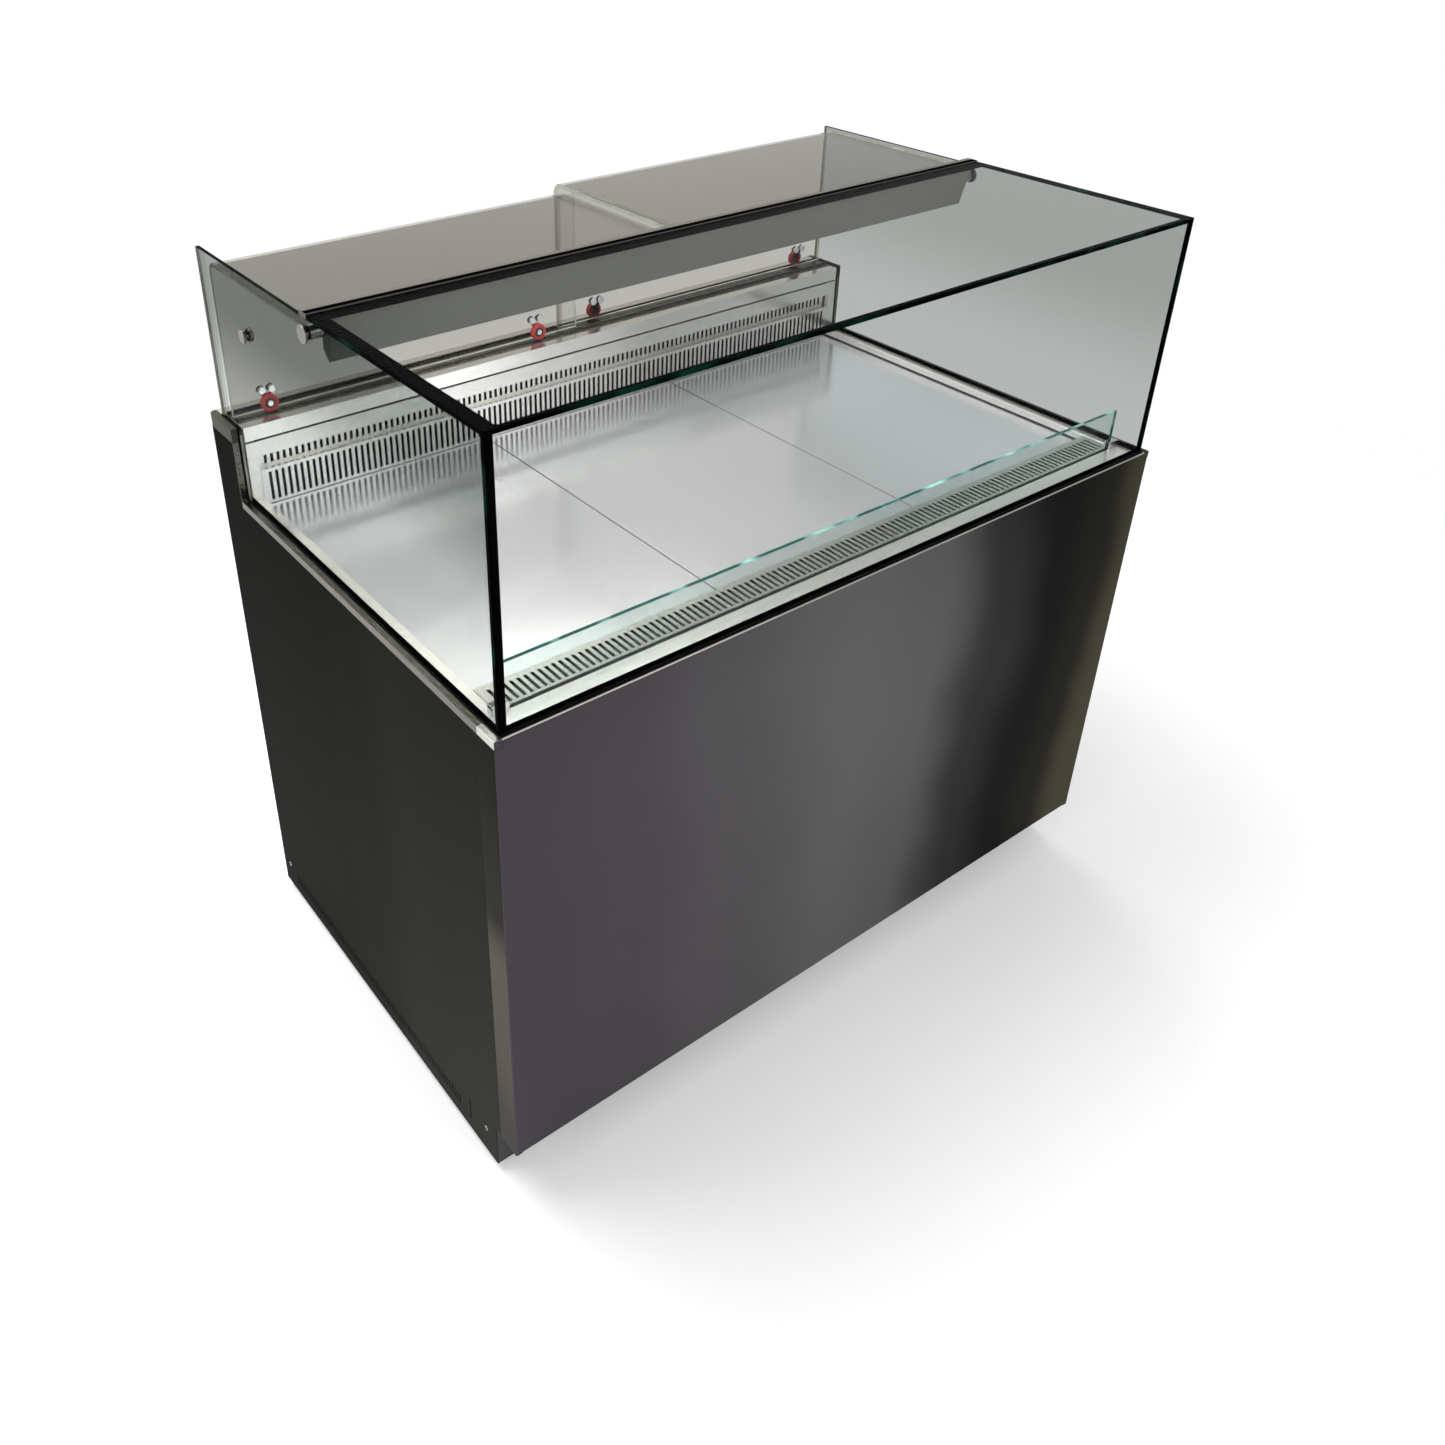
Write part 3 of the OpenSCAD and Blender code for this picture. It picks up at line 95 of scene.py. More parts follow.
def select(piece, kind, test):
    # in edit mode, selects the vertices, edges or faces whose middle passes the test
    mesh = bmesh.from_edit_mesh(piece.data)
    bpy.context.tool_settings.mesh_select_mode = (kind == "VERT", kind == "EDGE", kind == "FACE")
    for element in [*mesh.faces, *mesh.edges, *mesh.verts]:
        element.select_set(False)
    chosen = {"VERT": mesh.verts, "EDGE": mesh.edges, "FACE": mesh.faces}[kind]
    for element in chosen:
        ends = [element] if kind == "VERT" else list(element.verts)
        middle = sum((v.co for v in ends), Vector()) / len(ends)
        if test(middle, element):
            element.select_set(True)
    mesh.select_flush_mode()
    bmesh.update_edit_mesh(piece.data)


def near(value, target, reach=0.05 * mm):
    return abs(value - target) < reach


def modify(piece, kind, **settings):
    pick(piece)
    modifier = piece.modifiers.new(kind.title(), kind)
    for key, value in settings.items():
        setattr(modifier, key, value)
    bpy.ops.object.modifier_apply(modifier=modifier.name)


def roundEdges(piece, width, segments=2, angle=30):
    # rounded or chamfered edges with the flat faces kept flat in the light
    pick(piece)
    bpy.ops.object.shade_smooth()
    modify(piece, "BEVEL", width=width, segments=segments, limit_method="ANGLE",
           angle_limit=math.radians(angle), harden_normals=True)


def smooth(piece, angle=35):
    pick(piece)
    bpy.ops.object.shade_smooth_by_angle(angle=math.radians(angle))


def flatten(piece, angle=35):
    # folds stay round and the broad faces beside them stay flat in the light
    smooth(piece, angle)
    modify(piece, "WEIGHTED_NORMAL", keep_sharp=True, weight=90)


def faceSheet(piece, sign):
    # an open sheet's faces are turned over if the broadest one across Y looks the wrong way
    broadest = max(piece.data.polygons, key=lambda face: face.normal.y ** 2 * face.area)
    if broadest.normal.y * sign < 0:
        edit(piece)
        bpy.ops.mesh.select_all(action="SELECT")
        bpy.ops.mesh.flip_normals()
        bpy.ops.object.mode_set(mode="OBJECT")


def placeInMesh(piece):
    pick(piece)
    bpy.ops.object.transform_apply(location=True, rotation=True, scale=True)


def addBlock(name, low, high):
    # a cube primitive stretched between two corners
    low, high = Vector(low), Vector(high)
    deselect()
    bpy.ops.mesh.primitive_cube_add(size=1, location=(low + high) / 2)
    piece = bpy.context.object
    piece.name = name
    piece.scale = high - low
    placeInMesh(piece)
    return piece


def copyPiece(piece, name, move=(0, 0, 0), turn=None):
    twin = bpy.data.objects.new(name, piece.data.copy())
    bpy.context.scene.collection.objects.link(twin)
    if turn is not None:
        twin.data.transform(turn)
    twin.data.transform(Matrix.Translation(move))
    return twin


def joinPieces(pieces, name):
    deselect()
    for piece in pieces:
        piece.select_set(True)
    bpy.context.view_layer.objects.active = pieces[0]
    bpy.ops.object.join()
    pieces[0].name = name
    return pieces[0]


def finish(piece, body, material, slot, *replaced):
    # materials, the body that the piece rides on and the CAD nodes that it stands for
    if material is not None:
        piece.data.materials.clear()
        piece.data.materials.append(material)
    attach(piece, body)
    if replaced:
        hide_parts(*replaced)
    return piece


def paintFaces(piece, material, test):
    piece.data.materials.append(material)
    index = len(piece.data.materials) - 1
    for face in piece.data.polygons:
        if test(face.center, face.normal):
            face.material_index = index


def bodyOf(node):
    return body_of(nodes[node])[0]


merging = {"doubles": 0.004 * mm, "flatness": math.radians(0.4)}


def remake(node, name, material, rounding=0.4, segments=2):
    # the node's own shape with its triangles joined and its edges rounded by so many millimetres
    piece = bpy.data.objects.new(name, nodes[node].data.copy())
    bpy.context.scene.collection.objects.link(piece)
    edit(piece)
    bpy.ops.mesh.select_all(action="SELECT")
    bpy.ops.mesh.customdata_custom_splitnormals_clear()
    bpy.ops.mesh.mark_sharp(clear=True)
    bpy.ops.mesh.remove_doubles(threshold=merging["doubles"])
    bpy.ops.mesh.dissolve_limited(angle_limit=merging["flatness"])
    bpy.ops.object.mode_set(mode="OBJECT")
    if rounding:
        roundEdges(piece, rounding * mm, segments)
    else:
        smooth(piece, 30)
    return finish(piece, bodyOf(node), material, slotOf[node], node)


def remakeAll(parts):
    # each row names the new piece, its material and, if need be, its rounding and segments
    return {node: remake(node, *row) for node, row in parts.items()}


def dress(node, material):
    for slot in nodes[node].material_slots:
        slot.material = material


# Camera, world, floor and lamps

camera = {
    "place": (-1.2602, -1.4597, 1.8598),
    "azimuth": -36.426,
    "elevation": 30.511,
    "lens": 32.58,
    "sensor": 36,
    "shift": (0.0809, -0.1219),
}


def setCamera():
    data = bpy.data.cameras.new("camera")
    data.lens = camera["lens"]
    data.sensor_width = camera["sensor"]
    data.shift_x, data.shift_y = camera["shift"]
    viewer = bpy.data.objects.new("camera", data)
    viewer.location = camera["place"]
    viewer.rotation_euler = (math.radians(90 - camera["elevation"]), 0, math.radians(camera["azimuth"]))
    bpy.context.scene.collection.objects.link(viewer)
    bpy.context.scene.camera = viewer
    bpy.context.scene.view_settings.view_transform = "Standard"


def toLinear(code):
    # an sRGB hex value as the linear colour that a shader takes
    parts = [int(code[i:i + 2], 16) / 255 for i in (1, 3, 5)]
    return tuple(p / 12.92 if p <= 0.04045 else ((p + 0.055) / 1.055) ** 2.4 for p in parts) + (1.0,)


def addNode(tree, kind, settings=None, links=None):
    node = tree.nodes.new("ShaderNode" + kind)
    for key, value in (settings or {}).items():
        if isinstance(key, str) and key not in node.inputs:
            setattr(node, key, value)
        else:
            node.inputs[key].default_value = value
    for key, source in (links or {}).items():
        tree.links.new(source, node.inputs[key])
    return node


def startMaterial(name):
    material = bpy.data.materials.new(name)
    material.use_nodes = True
    material.node_tree.nodes.clear()
    return material, material.node_tree


def closeMaterial(tree, shader):
    addNode(tree, "OutputMaterial", links={"Surface": shader.outputs[0]})


def seenDirectly(tree):
    # 1 where the eye, a mirror or a pane of glass looks at the background
    path = addNode(tree, "LightPath")
    mirror = addNode(tree, "Math", {"operation": "MAXIMUM"},
                     {0: path.outputs["Is Camera Ray"], 1: path.outputs["Is Glossy Ray"]})
    return addNode(tree, "Math", {"operation": "MAXIMUM"},
                   {0: mirror.outputs[0], 1: path.outputs["Is Transmission Ray"]}).outputs[0]


studio = {
    "ambient": 0.5,       # light from the world on the object
    "sweep": 60.0,        # the floor's side, in metres
    "matt": 0.9,          # the floor's own grey
    "lift": 0.26,         # plain white added to the floor's shading, where the eye sees it
    "fade": (1.3, 3.4),   # the floor turns plain white between these distances
    "lamps": {
        "key": {"place": (-1.1, 1.0, 3.3), "aim": (0, 0, 0.6), "size": (2.4, 1.8), "watts": 84},
        "left": {"place": (-3.4, -1.2, 2.2), "aim": (0, 0, 0.8), "size": (1.6, 1.6), "watts": 14},
        "front": {"place": (0.8, -3.4, 2.2), "aim": (0, 0, 0.7), "size": (2.4, 1.6), "watts": 26},
        "rear": {"place": (1.3, 2.6, 4.0), "aim": (0, 0, 0.7), "size": (2.0, 1.4), "watts": 34},
    },
}


def setStudio():
    world = bpy.data.worlds.new("studio")
    bpy.context.scene.world = world
    world.use_nodes = True
    tree = world.node_tree
    tree.nodes.clear()
    strength = addNode(tree, "MapRange", {"To Min": studio["ambient"], "To Max": 1.0},
                       {"Value": seenDirectly(tree)})
    back = addNode(tree, "Background", {"Color": (1, 1, 1, 1)}, {"Strength": strength.outputs[0]})
    addNode(tree, "OutputWorld", links={"Surface": back.outputs[0]})

    material, tree = startMaterial("floorSweep")   # matt white sweep that keeps the soft shadow
    seen = seenDirectly(tree)
    place = addNode(tree, "TexCoord")
    away = addNode(tree, "VectorMath", {"operation": "LENGTH"}, {0: place.outputs["Object"]})
    fade = addNode(tree, "MapRange", {"interpolation_type": "SMOOTHSTEP", "From Min": studio["fade"][0],
                                      "From Max": studio["fade"][1]}, {"Value": away.outputs["Value"]})
    share = addNode(tree, "Math", {"operation": "MULTIPLY"}, {0: seen, 1: fade.outputs[0]})
    lift = addNode(tree, "Math", {"operation": "MULTIPLY", 1: studio["lift"]}, {0: seen})
    matt = addNode(tree, "BsdfDiffuse", {"Color": (studio["matt"], studio["matt"], studio["matt"], 1)})
    glow = addNode(tree, "Emission", {"Color": (1, 1, 1, 1)}, {"Strength": lift.outputs[0]})
    lit = addNode(tree, "AddShader", links={0: matt.outputs[0], 1: glow.outputs[0]})
    white = addNode(tree, "Emission", {"Color": (1, 1, 1, 1), "Strength": 1.0})
    mixed = addNode(tree, "MixShader", links={0: share.outputs[0], 1: lit.outputs[0], 2: white.outputs[0]})
    closeMaterial(tree, mixed)
    deselect()
    bpy.ops.mesh.primitive_plane_add(size=studio["sweep"], location=(0, 0, 0))
    floor = bpy.context.object
    floor.name = "floor_sweep"
    floor.data.materials.append(material)

    for name, lamp in studio["lamps"].items():
        data = bpy.data.lights.new(name, "AREA")
        data.shape = "RECTANGLE"
        data.size, data.size_y = lamp["size"]
        data.energy = lamp["watts"]
        light = bpy.data.objects.new(name, data)
        light.location = lamp["place"]
        aim = Vector(lamp["aim"]) - Vector(lamp["place"])
        light.rotation_euler = aim.to_track_quat("-Z", "Y").to_euler()
        bpy.context.scene.collection.objects.link(light)


# Finishes. A pattern's scale is 1000 over its size in millimetres, since Object coordinates are metres.

def perMetre(size):
    return 1000.0 / size


def grainedMetal(name, tone, worn, rough, spread, grain, along, relief, cloud, metallic=1.0):
    # rolled or brushed sheet: a fine grain that runs along one axis, and large faint clouds in the tone
    # a real scratch is about 0.1 mm wide and wouldn't show, so the grain is drawn near 1 mm
    material, tree = startMaterial(name)
    place = addNode(tree, "TexCoord")
    stretch = [perMetre(grain)] * 3
    stretch["xyz".index(along)] = perMetre(grain * 70)   # a scratch is 70 times as long as it is wide
    turned = addNode(tree, "Mapping", {"Scale": stretch}, {"Vector": place.outputs["Object"]})
    lines = addNode(tree, "TexNoise", {"Scale": 1.0, "Detail": 3.0, "Roughness": 0.6},
                    {"Vector": turned.outputs[0]})
    clouds = addNode(tree, "TexNoise", {"Scale": perMetre(cloud), "Detail": 2.0},
                     {"Vector": place.outputs["Object"]})
    color = addNode(tree, "Mix", {"data_type": "RGBA", 6: toLinear(tone), 7: toLinear(worn)},
                    {0: clouds.outputs[0]})
    gloss = addNode(tree, "MapRange", {"From Min": 0.25, "From Max": 0.75, "To Min": rough - spread,
                                       "To Max": rough + spread}, {"Value": lines.outputs[0]})
    bump = addNode(tree, "Bump", {"Strength": 0.25, "Distance": relief * mm}, {"Height": lines.outputs[0]})
    shader = addNode(tree, "BsdfPrincipled", {"Metallic": metallic},
                     {"Base Color": color.outputs[2], "Roughness": gloss.outputs[0],
                      "Normal": bump.outputs[0]})
    closeMaterial(tree, shader)
    return material


sheet = {
    "span": {"X": (-650, 650), "Y": (-411, 411), "Z": (103, 881)},   # the cabinet's outer faces, in mm
    "cloud": 420,                # the bands wander with clouds of this size
    "hairline": (90, 90, 1.2),   # the grain runs level, and is 1.2 mm wide, as real hairlines wouldn't show
    "spread": 0.03,              # how far the grain moves the roughness
    "lowAngle": 0.5,             # share of a bare metal's reflection that the coat leaves at a low angle
}


def paintedLightSheet(name, axis, stops, rough, wander, gains, metallic=1.0, sheen=0.5):
    # coated sheet with painted light: its colour holds painted reflections in broad soft bands along one
    # axis, which wander by so many millimetres, and the gains paint it brighter or darker at its foot and its
    # top as painted shade
    material, tree = startMaterial(name)
    place = addNode(tree, "TexCoord")
    clouds = addNode(tree, "TexNoise", {"Scale": perMetre(sheet["cloud"]), "Detail": 2.0},
                     {"Vector": place.outputs["Object"]})
    spread = addNode(tree, "Math", {"operation": "MULTIPLY_ADD", 1: 2 * wander * mm, 2: -wander * mm},
                     {0: clouds.outputs[0]})
    parts = addNode(tree, "SeparateXYZ", links={0: place.outputs["Object"]})
    along = addNode(tree, "Math", {"operation": "ADD"},
                    {0: parts.outputs["XYZ".index(axis)], 1: spread.outputs[0]})
    start, end = sheet["span"][axis]
    share = addNode(tree, "MapRange", {"From Min": start * mm, "From Max": end * mm},
                    {"Value": along.outputs[0]})
    ramp = addNode(tree, "ValToRGB", links={0: share.outputs[0]})
    ramp.color_ramp.interpolation = "EASE"
    while len(ramp.color_ramp.elements) < len(stops):
        ramp.color_ramp.elements.new(0.5)
    for element, (position, code) in zip(ramp.color_ramp.elements, stops):
        element.position = position
        element.color = toLinear(code)
    foot, top = sheet["span"]["Z"]
    gain = addNode(tree, "MapRange", {"From Min": foot * mm, "From Max": top * mm, "To Min": gains[0],
                                      "To Max": gains[1]}, {"Value": parts.outputs["Z"]})
    tone = addNode(tree, "VectorMath", {"operation": "SCALE"}, {0: ramp.outputs[0], "Scale": gain.outputs[0]})
    turned = addNode(tree, "Mapping", {"Scale": [perMetre(size) for size in sheet["hairline"]]},
                     {"Vector": place.outputs["Object"]})
    lines = addNode(tree, "TexNoise", {"Scale": 1.0, "Detail": 3.0}, {"Vector": turned.outputs[0]})
    gloss = addNode(tree, "MapRange", {"From Min": 0.25, "From Max": 0.75, "To Min": rough - sheet["spread"],
                                       "To Max": rough + sheet["spread"]}, {"Value": lines.outputs[0]})
    low = sheet["lowAngle"]
    shader = addNode(tree, "BsdfPrincipled", {"Metallic": metallic, "Specular Tint": (low, low, low, 1),
                                              "Specular IOR Level": sheen},
                     {"Base Color": tone.outputs["Vector"], "Roughness": gloss.outputs[0]})
    closeMaterial(tree, shader)
    return material


def coated(name, tone, second, rough, peel=1.2, relief=0.03, coat=0.0, cloud=120, sheen=0.5):
    # paint, powder coat, rubber or moulded plastic: a fine orange peel and a slight drift of tone
    # a mould's grain is about 0.2 mm and wouldn't show, so it is drawn at 0.5 mm or more
    material, tree = startMaterial(name)
    place = addNode(tree, "TexCoord")
    skin = addNode(tree, "TexNoise", {"Scale": perMetre(peel), "Detail": 3.0},
                   {"Vector": place.outputs["Object"]})
    clouds = addNode(tree, "TexNoise", {"Scale": perMetre(cloud), "Detail": 3.0},
                     {"Vector": place.outputs["Object"]})
    color = addNode(tree, "Mix", {"data_type": "RGBA", 6: toLinear(tone), 7: toLinear(second)},
                    {0: clouds.outputs[0]})
    gloss = addNode(tree, "MapRange", {"From Min": 0.3, "From Max": 0.7, "To Min": rough * 0.85,
                                       "To Max": rough * 1.15}, {"Value": clouds.outputs[0]})
    bump = addNode(tree, "Bump", {"Strength": 0.3, "Distance": relief * mm}, {"Height": skin.outputs[0]})
    shader = addNode(tree, "BsdfPrincipled", {"Coat Weight": coat, "Coat Roughness": 0.1,
                                              "Specular IOR Level": sheen},
                     {"Base Color": color.outputs[2], "Roughness": gloss.outputs[0],
                      "Normal": bump.outputs[0]})
    closeMaterial(tree, shader)
    return material


glazing = {
    "drift": 700,                      # size of the slow changes in a pane's tint
    "streak": 60,                      # size of the paler streaks along an edge
    "through": (0.94, 0.95, 0.945),    # light that a pane lets through
}


def floatGlass(name, tint, second, index, heights=None):
    # tempered float glass: its tint drifts, or changes between two heights in mm as a painted reflection that
    # darkens it towards the top, and its IOR is far below 1.5, so that the white surroundings mirrored in
    # each pane don't hide what is behind it
    material, tree = startMaterial(name)
    place = addNode(tree, "TexCoord")
    drift = addNode(tree, "TexNoise", {"Scale": perMetre(glazing["drift"]), "Detail": 1.0},
                    {"Vector": place.outputs["Object"]})
    if heights:
        parts = addNode(tree, "SeparateXYZ", links={0: place.outputs["Object"]})
        drift = addNode(tree, "MapRange", {"interpolation_type": "SMOOTHSTEP", "From Min": heights[0] * mm,
                                           "From Max": heights[1] * mm}, {"Value": parts.outputs["Z"]})
    color = addNode(tree, "Mix", {"data_type": "RGBA", 6: toLinear(tint), 7: toLinear(second)},
                    {0: drift.outputs[0]})
    body = addNode(tree, "BsdfPrincipled", {"Transmission Weight": 1.0, "Roughness": 0.0, "IOR": index},
                   {"Base Color": color.outputs[2]})
    clear = addNode(tree, "BsdfTransparent", {"Color": (*glazing["through"], 1)})
    path = addNode(tree, "LightPath")
    mixed = addNode(tree, "MixShader", links={0: path.outputs["Is Shadow Ray"], 1: body.outputs[0],
                                              2: clear.outputs[0]})
    closeMaterial(tree, mixed)
    return material


def polishedEdge(name, deep, bright, sheen):
    # ground and polished edge: light runs inside the pane, so the edge is deep green with paler streaks
    material, tree = startMaterial(name)
    place = addNode(tree, "TexCoord")
    streaks = addNode(tree, "TexNoise", {"Scale": perMetre(glazing["streak"]), "Detail": 2.0},
                      {"Vector": place.outputs["Object"]})
    share = addNode(tree, "MapRange", {"From Min": 0.5, "From Max": 0.75}, {"Value": streaks.outputs[0]})
    color = addNode(tree, "Mix", {"data_type": "RGBA", 6: toLinear(deep), 7: toLinear(bright)},
                    {0: share.outputs[0]})
    shader = addNode(tree, "BsdfPrincipled", {"Roughness": 0.12, "IOR": 1.5, "Specular IOR Level": sheen},
                     {"Base Color": color.outputs[2]})
    closeMaterial(tree, shader)
    return material


led = {"band": 60, "glow": (10.0, 12.0)}   # the bands' size in mm, and the least and most light


def litDiffuser(name):
    # opal tube over a row of warm white diodes, which show as faint brighter bands
    material, tree = startMaterial(name)
    place = addNode(tree, "TexCoord")
    dots = addNode(tree, "TexWave", {"bands_direction": "X", "Scale": perMetre(led["band"]),
                                     "Distortion": 0.0}, {"Vector": place.outputs["Object"]})
    glow = addNode(tree, "MapRange", {"To Min": led["glow"][0], "To Max": led["glow"][1]},
                   {"Value": dots.outputs[0]})
    shader = addNode(tree, "BsdfPrincipled", {"Base Color": toLinear("#EDEAE2"), "Roughness": 0.4,
                                              "Emission Color": toLinear("#FFF1DC")},
                     {"Emission Strength": glow.outputs[0]})
    closeMaterial(tree, shader)
    return material


setCamera()
setStudio()
print("camera, sweep and lamps are set")

# stainless under a dark titanium coat: satin violet grey, with painted reflections: towards the right it
# drifts to near black and then to olive, and the foot is painted brighter and the top darker
frontSteel = paintedLightSheet("frontSteel", "X", (
    (0.0, "#48454B"), (0.16, "#4E4B4F"), (0.3, "#565456"), (0.48, "#636263"), (0.6, "#5E5E5F"),
    (0.73, "#343434"), (0.83, "#1E1E1E"), (0.92, "#272622"), (1.0, "#484539")),
    rough=0.36, wander=110, gains=(1.3, 0.85))
# the same coat on the returns round the corners, with painted reflections: paler towards the floor, near
# black at the top
returnSteel = paintedLightSheet("returnSteel", "Z", (
    (0.0, "#4C4A44"), (0.3, "#605E56"), (0.5, "#625F57"), (0.62, "#33322D"), (1.0, "#23221D")),
    rough=0.3, wander=30, gains=(1.0, 1.0))
# powder coated mild steel: a matt olive black with painted shade: lighter at the front and the foot, darker
# towards the rear and the top
sideSteel = paintedLightSheet("sideSteel", "Y", (
    (0.0, "#35342F"), (0.3, "#302F2B"), (0.5, "#242421"), (0.65, "#1F1F1B"), (0.8, "#1C1C1A"),
    (1.0, "#181816")), rough=0.34, wander=60, gains=(1.27, 0.6), metallic=0.0, sheen=0.002)
# a painted highlight along the front sheet's top fold: bright grey over the titanium coat
foldHighlight = grainedMetal("foldHighlight", "#A39E99", "#8A8581", 0.24, 0.05, 0.8, "x", 0.004, 70)
# bright rolled stainless: mirrors the grille softly, paler on the ledges round the well
deckSteel = grainedMetal("deckSteel", "#DEE0E4", "#D3D5D9", 0.17, 0.03, 1.4, "y", 0.001, 420, metallic=0.8)
restSteel = grainedMetal("restSteel", "#F1EFEB", "#E4E2DE", 0.22, 0.05, 1.2, "x", 0.002, 240, metallic=0.85)
ledgeSteel = grainedMetal("ledgeSteel", "#DAD8D3", "#CCCAC5", 0.16, 0.04, 1.2, "x", 0.002, 240, metallic=0.95)
# the same steel punched into grilles: a little duller
ductSteel = grainedMetal("ductSteel", "#D3D2CE", "#C5C4C0", 0.2, 0.04, 1.2, "z", 0.002, 220, metallic=0.9)
# the stainless liner: dull grey, and painted near black where only slots show it, as painted shade
linerSteel = grainedMetal("linerSteel", "#5F6163", "#545658", 0.5, 0.05, 1.2, "z", 0.004, 220)
linerShade = coated("linerShade", "#101111", "#171818", 0.7, 1.2, 0.02, cloud=220, sheen=0.1)
# stainless profiles, brushed along their length: grey, with bright or dark end caps
trimSteel = grainedMetal("trimSteel", "#66645D", "#56544E", 0.26, 0.06, 1.0, "y", 0.004, 90)
capSteel = grainedMetal("capSteel", "#BDBCB6", "#AFAEA8", 0.22, 0.05, 1.0, "y", 0.005, 60)
rearCapPaint = coated("rearCapPaint", "#3A3932", "#45443D", 0.3, 1.6, 0.01, cloud=60, sheen=0.05)
# brushed nickel plate: smooth and grey
nickel = grainedMetal("nickel", "#8F8E89", "#7F7E78", 0.2, 0.05, 0.8, "x", 0.004, 30)
# brushed stainless of the service side: satin, light grey
rearSteel = grainedMetal("rearSteel", "#A9AAA8", "#9C9D9B", 0.38, 0.05, 1.4, "x", 0.004, 240)
# satin powder coats: a warm grey beam, a green grey lamp housing, black sheets and a blue black frame
beamPaint = coated("beamPaint", "#625F59", "#6C6963", 0.42, 0.9, 0.02, sheen=0.02)
lampPaint = coated("lampPaint", "#5C5D58", "#676862", 0.5, 0.9, 0.02, cloud=300, sheen=0.1)
blackSteel = coated("blackSteel", "#1B1B1B", "#222221", 0.45, 1.4, 0.03)
framePaint = coated("framePaint", "#2B2C2E", "#232426", 0.5, 1.5, 0.04)
# tempered glass: the top and front panes are nearly clear, and the side panes are grey, with a painted
# reflection that deepens the grey towards their top
paneGlass = floatGlass("paneGlass", "#F8F8F7", "#F2F3F2", 1.03)
leftGlass = floatGlass("leftGlass", "#D4D8D6", "#9DA29F", 1.03, (1040, 1210))
rightGlass = floatGlass("rightGlass", "#B8BDBB", "#A0A5A2", 1.03, (960, 1180))
tailGlass = floatGlass("tailGlass", "#A6A9A5", "#8D918D", 1.03, (1040, 1210))
# the doors have a grey film, but for one clear strip; the riser is faintly blue green
doorGlass = floatGlass("doorGlass", "#C1BFBA", "#B8B6B1", 1.08)
clearGlass = floatGlass("clearGlass", "#F3F4F3", "#EEEFEE", 1.08)
riserGlass = floatGlass("riserGlass", "#E6EFED", "#DEEAE7", 1.08)
# polished edges: black green on the thick bonded case, pale on the doors, sea green on the riser
paneEdge = polishedEdge("paneEdge", "#030505", "#0C3328", 0.002)
sideEdge = polishedEdge("sideEdge", "#060908", "#11281F", 0.002)
doorEdge = polishedEdge("doorEdge", "#A9AB9F", "#C9CBBE", 0.3)
riserEdge = polishedEdge("riserEdge", "#1F4B45", "#9FD3C9", 0.3)
# silicone: dead black between the bonded panes, a soft black bead outside them
bondSilicone = coated("bondSilicone", "#030303", "#060606", 0.3, 3.0, 0.005, sheen=0.0)
beadSilicone = coated("beadSilicone", "#050505", "#0B0B0B", 0.38, 4.0, 0.05, sheen=0.02)
# plated fittings: chrome mirrors, zinc is softer, and galvanised sheet has a coarse blue grey spangle
chrome = grainedMetal("chrome", "#D9DADA", "#CFD0D0", 0.1, 0.03, 0.8, "z", 0.004, 30)
zincSteel = grainedMetal("zincSteel", "#C9CAC8", "#B6B8B7", 0.26, 0.08, 0.8, "z", 0.006, 20)
galvanised = grainedMetal("galvanised", "#B2B6B8", "#9AA0A3", 0.38, 0.1, 6.0, "z", 0.01, 14)
# bare aluminium fins and copper pipe: a fine drawn grain
finAluminium = grainedMetal("finAluminium", "#C8CACB", "#BBBEC0", 0.35, 0.08, 1.0, "z", 0.02, 40)
copper = grainedMetal("copper", "#C88660", "#B06F4B", 0.3, 0.08, 1.0, "z", 0.01, 30)
# cast urethane tyres and turned nylon: smooth and a little waxy
redUrethane = coated("redUrethane", "#B8322E", "#A02623", 0.34, 1.0, 0.02)
blackNylon = coated("blackNylon", "#17191A", "#1F2122", 0.4, 0.8, 0.02)
# polyurethane foam: matt grey with open cells
foam = coated("foam", "#A9AAA7", "#9B9C99", 0.85, 3.0, 0.4)
# moulded plastics: fine grained ABS and nylon, rubber keys, glossy polycarbonate and a dark red window
blackAbs = coated("blackAbs", "#141516", "#1A1B1C", 0.42, 0.6, 0.03)
fanNylon = coated("fanNylon", "#26282A", "#2E3032", 0.45, 0.6, 0.03)
keyRubber = coated("keyRubber", "#5A5D60", "#646769", 0.5, 0.5, 0.02)
redPolycarbonate = coated("redPolycarbonate", "#B4171A", "#C21E1E", 0.25, 0.6, 0.01, coat=0.4)
displayAcrylic = coated("displayAcrylic", "#120606", "#1A0808", 0.08, 4.0, 0.0, coat=0.6)
# stove enamel on the compressor: glossy black over a pressed shell
shellEnamel = coated("shellEnamel", "#0D0E0F", "#151617", 0.25, 1.2, 0.04, coat=0.3)
diffuser = litDiffuser("diffuser")
print("finishes are mixed")


# Outer cabinet

frontSheet = {"node": "front_panel", "wall": 1.5 * mm, "fold": 2.4 * mm, "return": 42 * mm,
              "lip": 8 * mm, "hem": 30 * mm, "notch": (12 * mm, 12 * mm)}


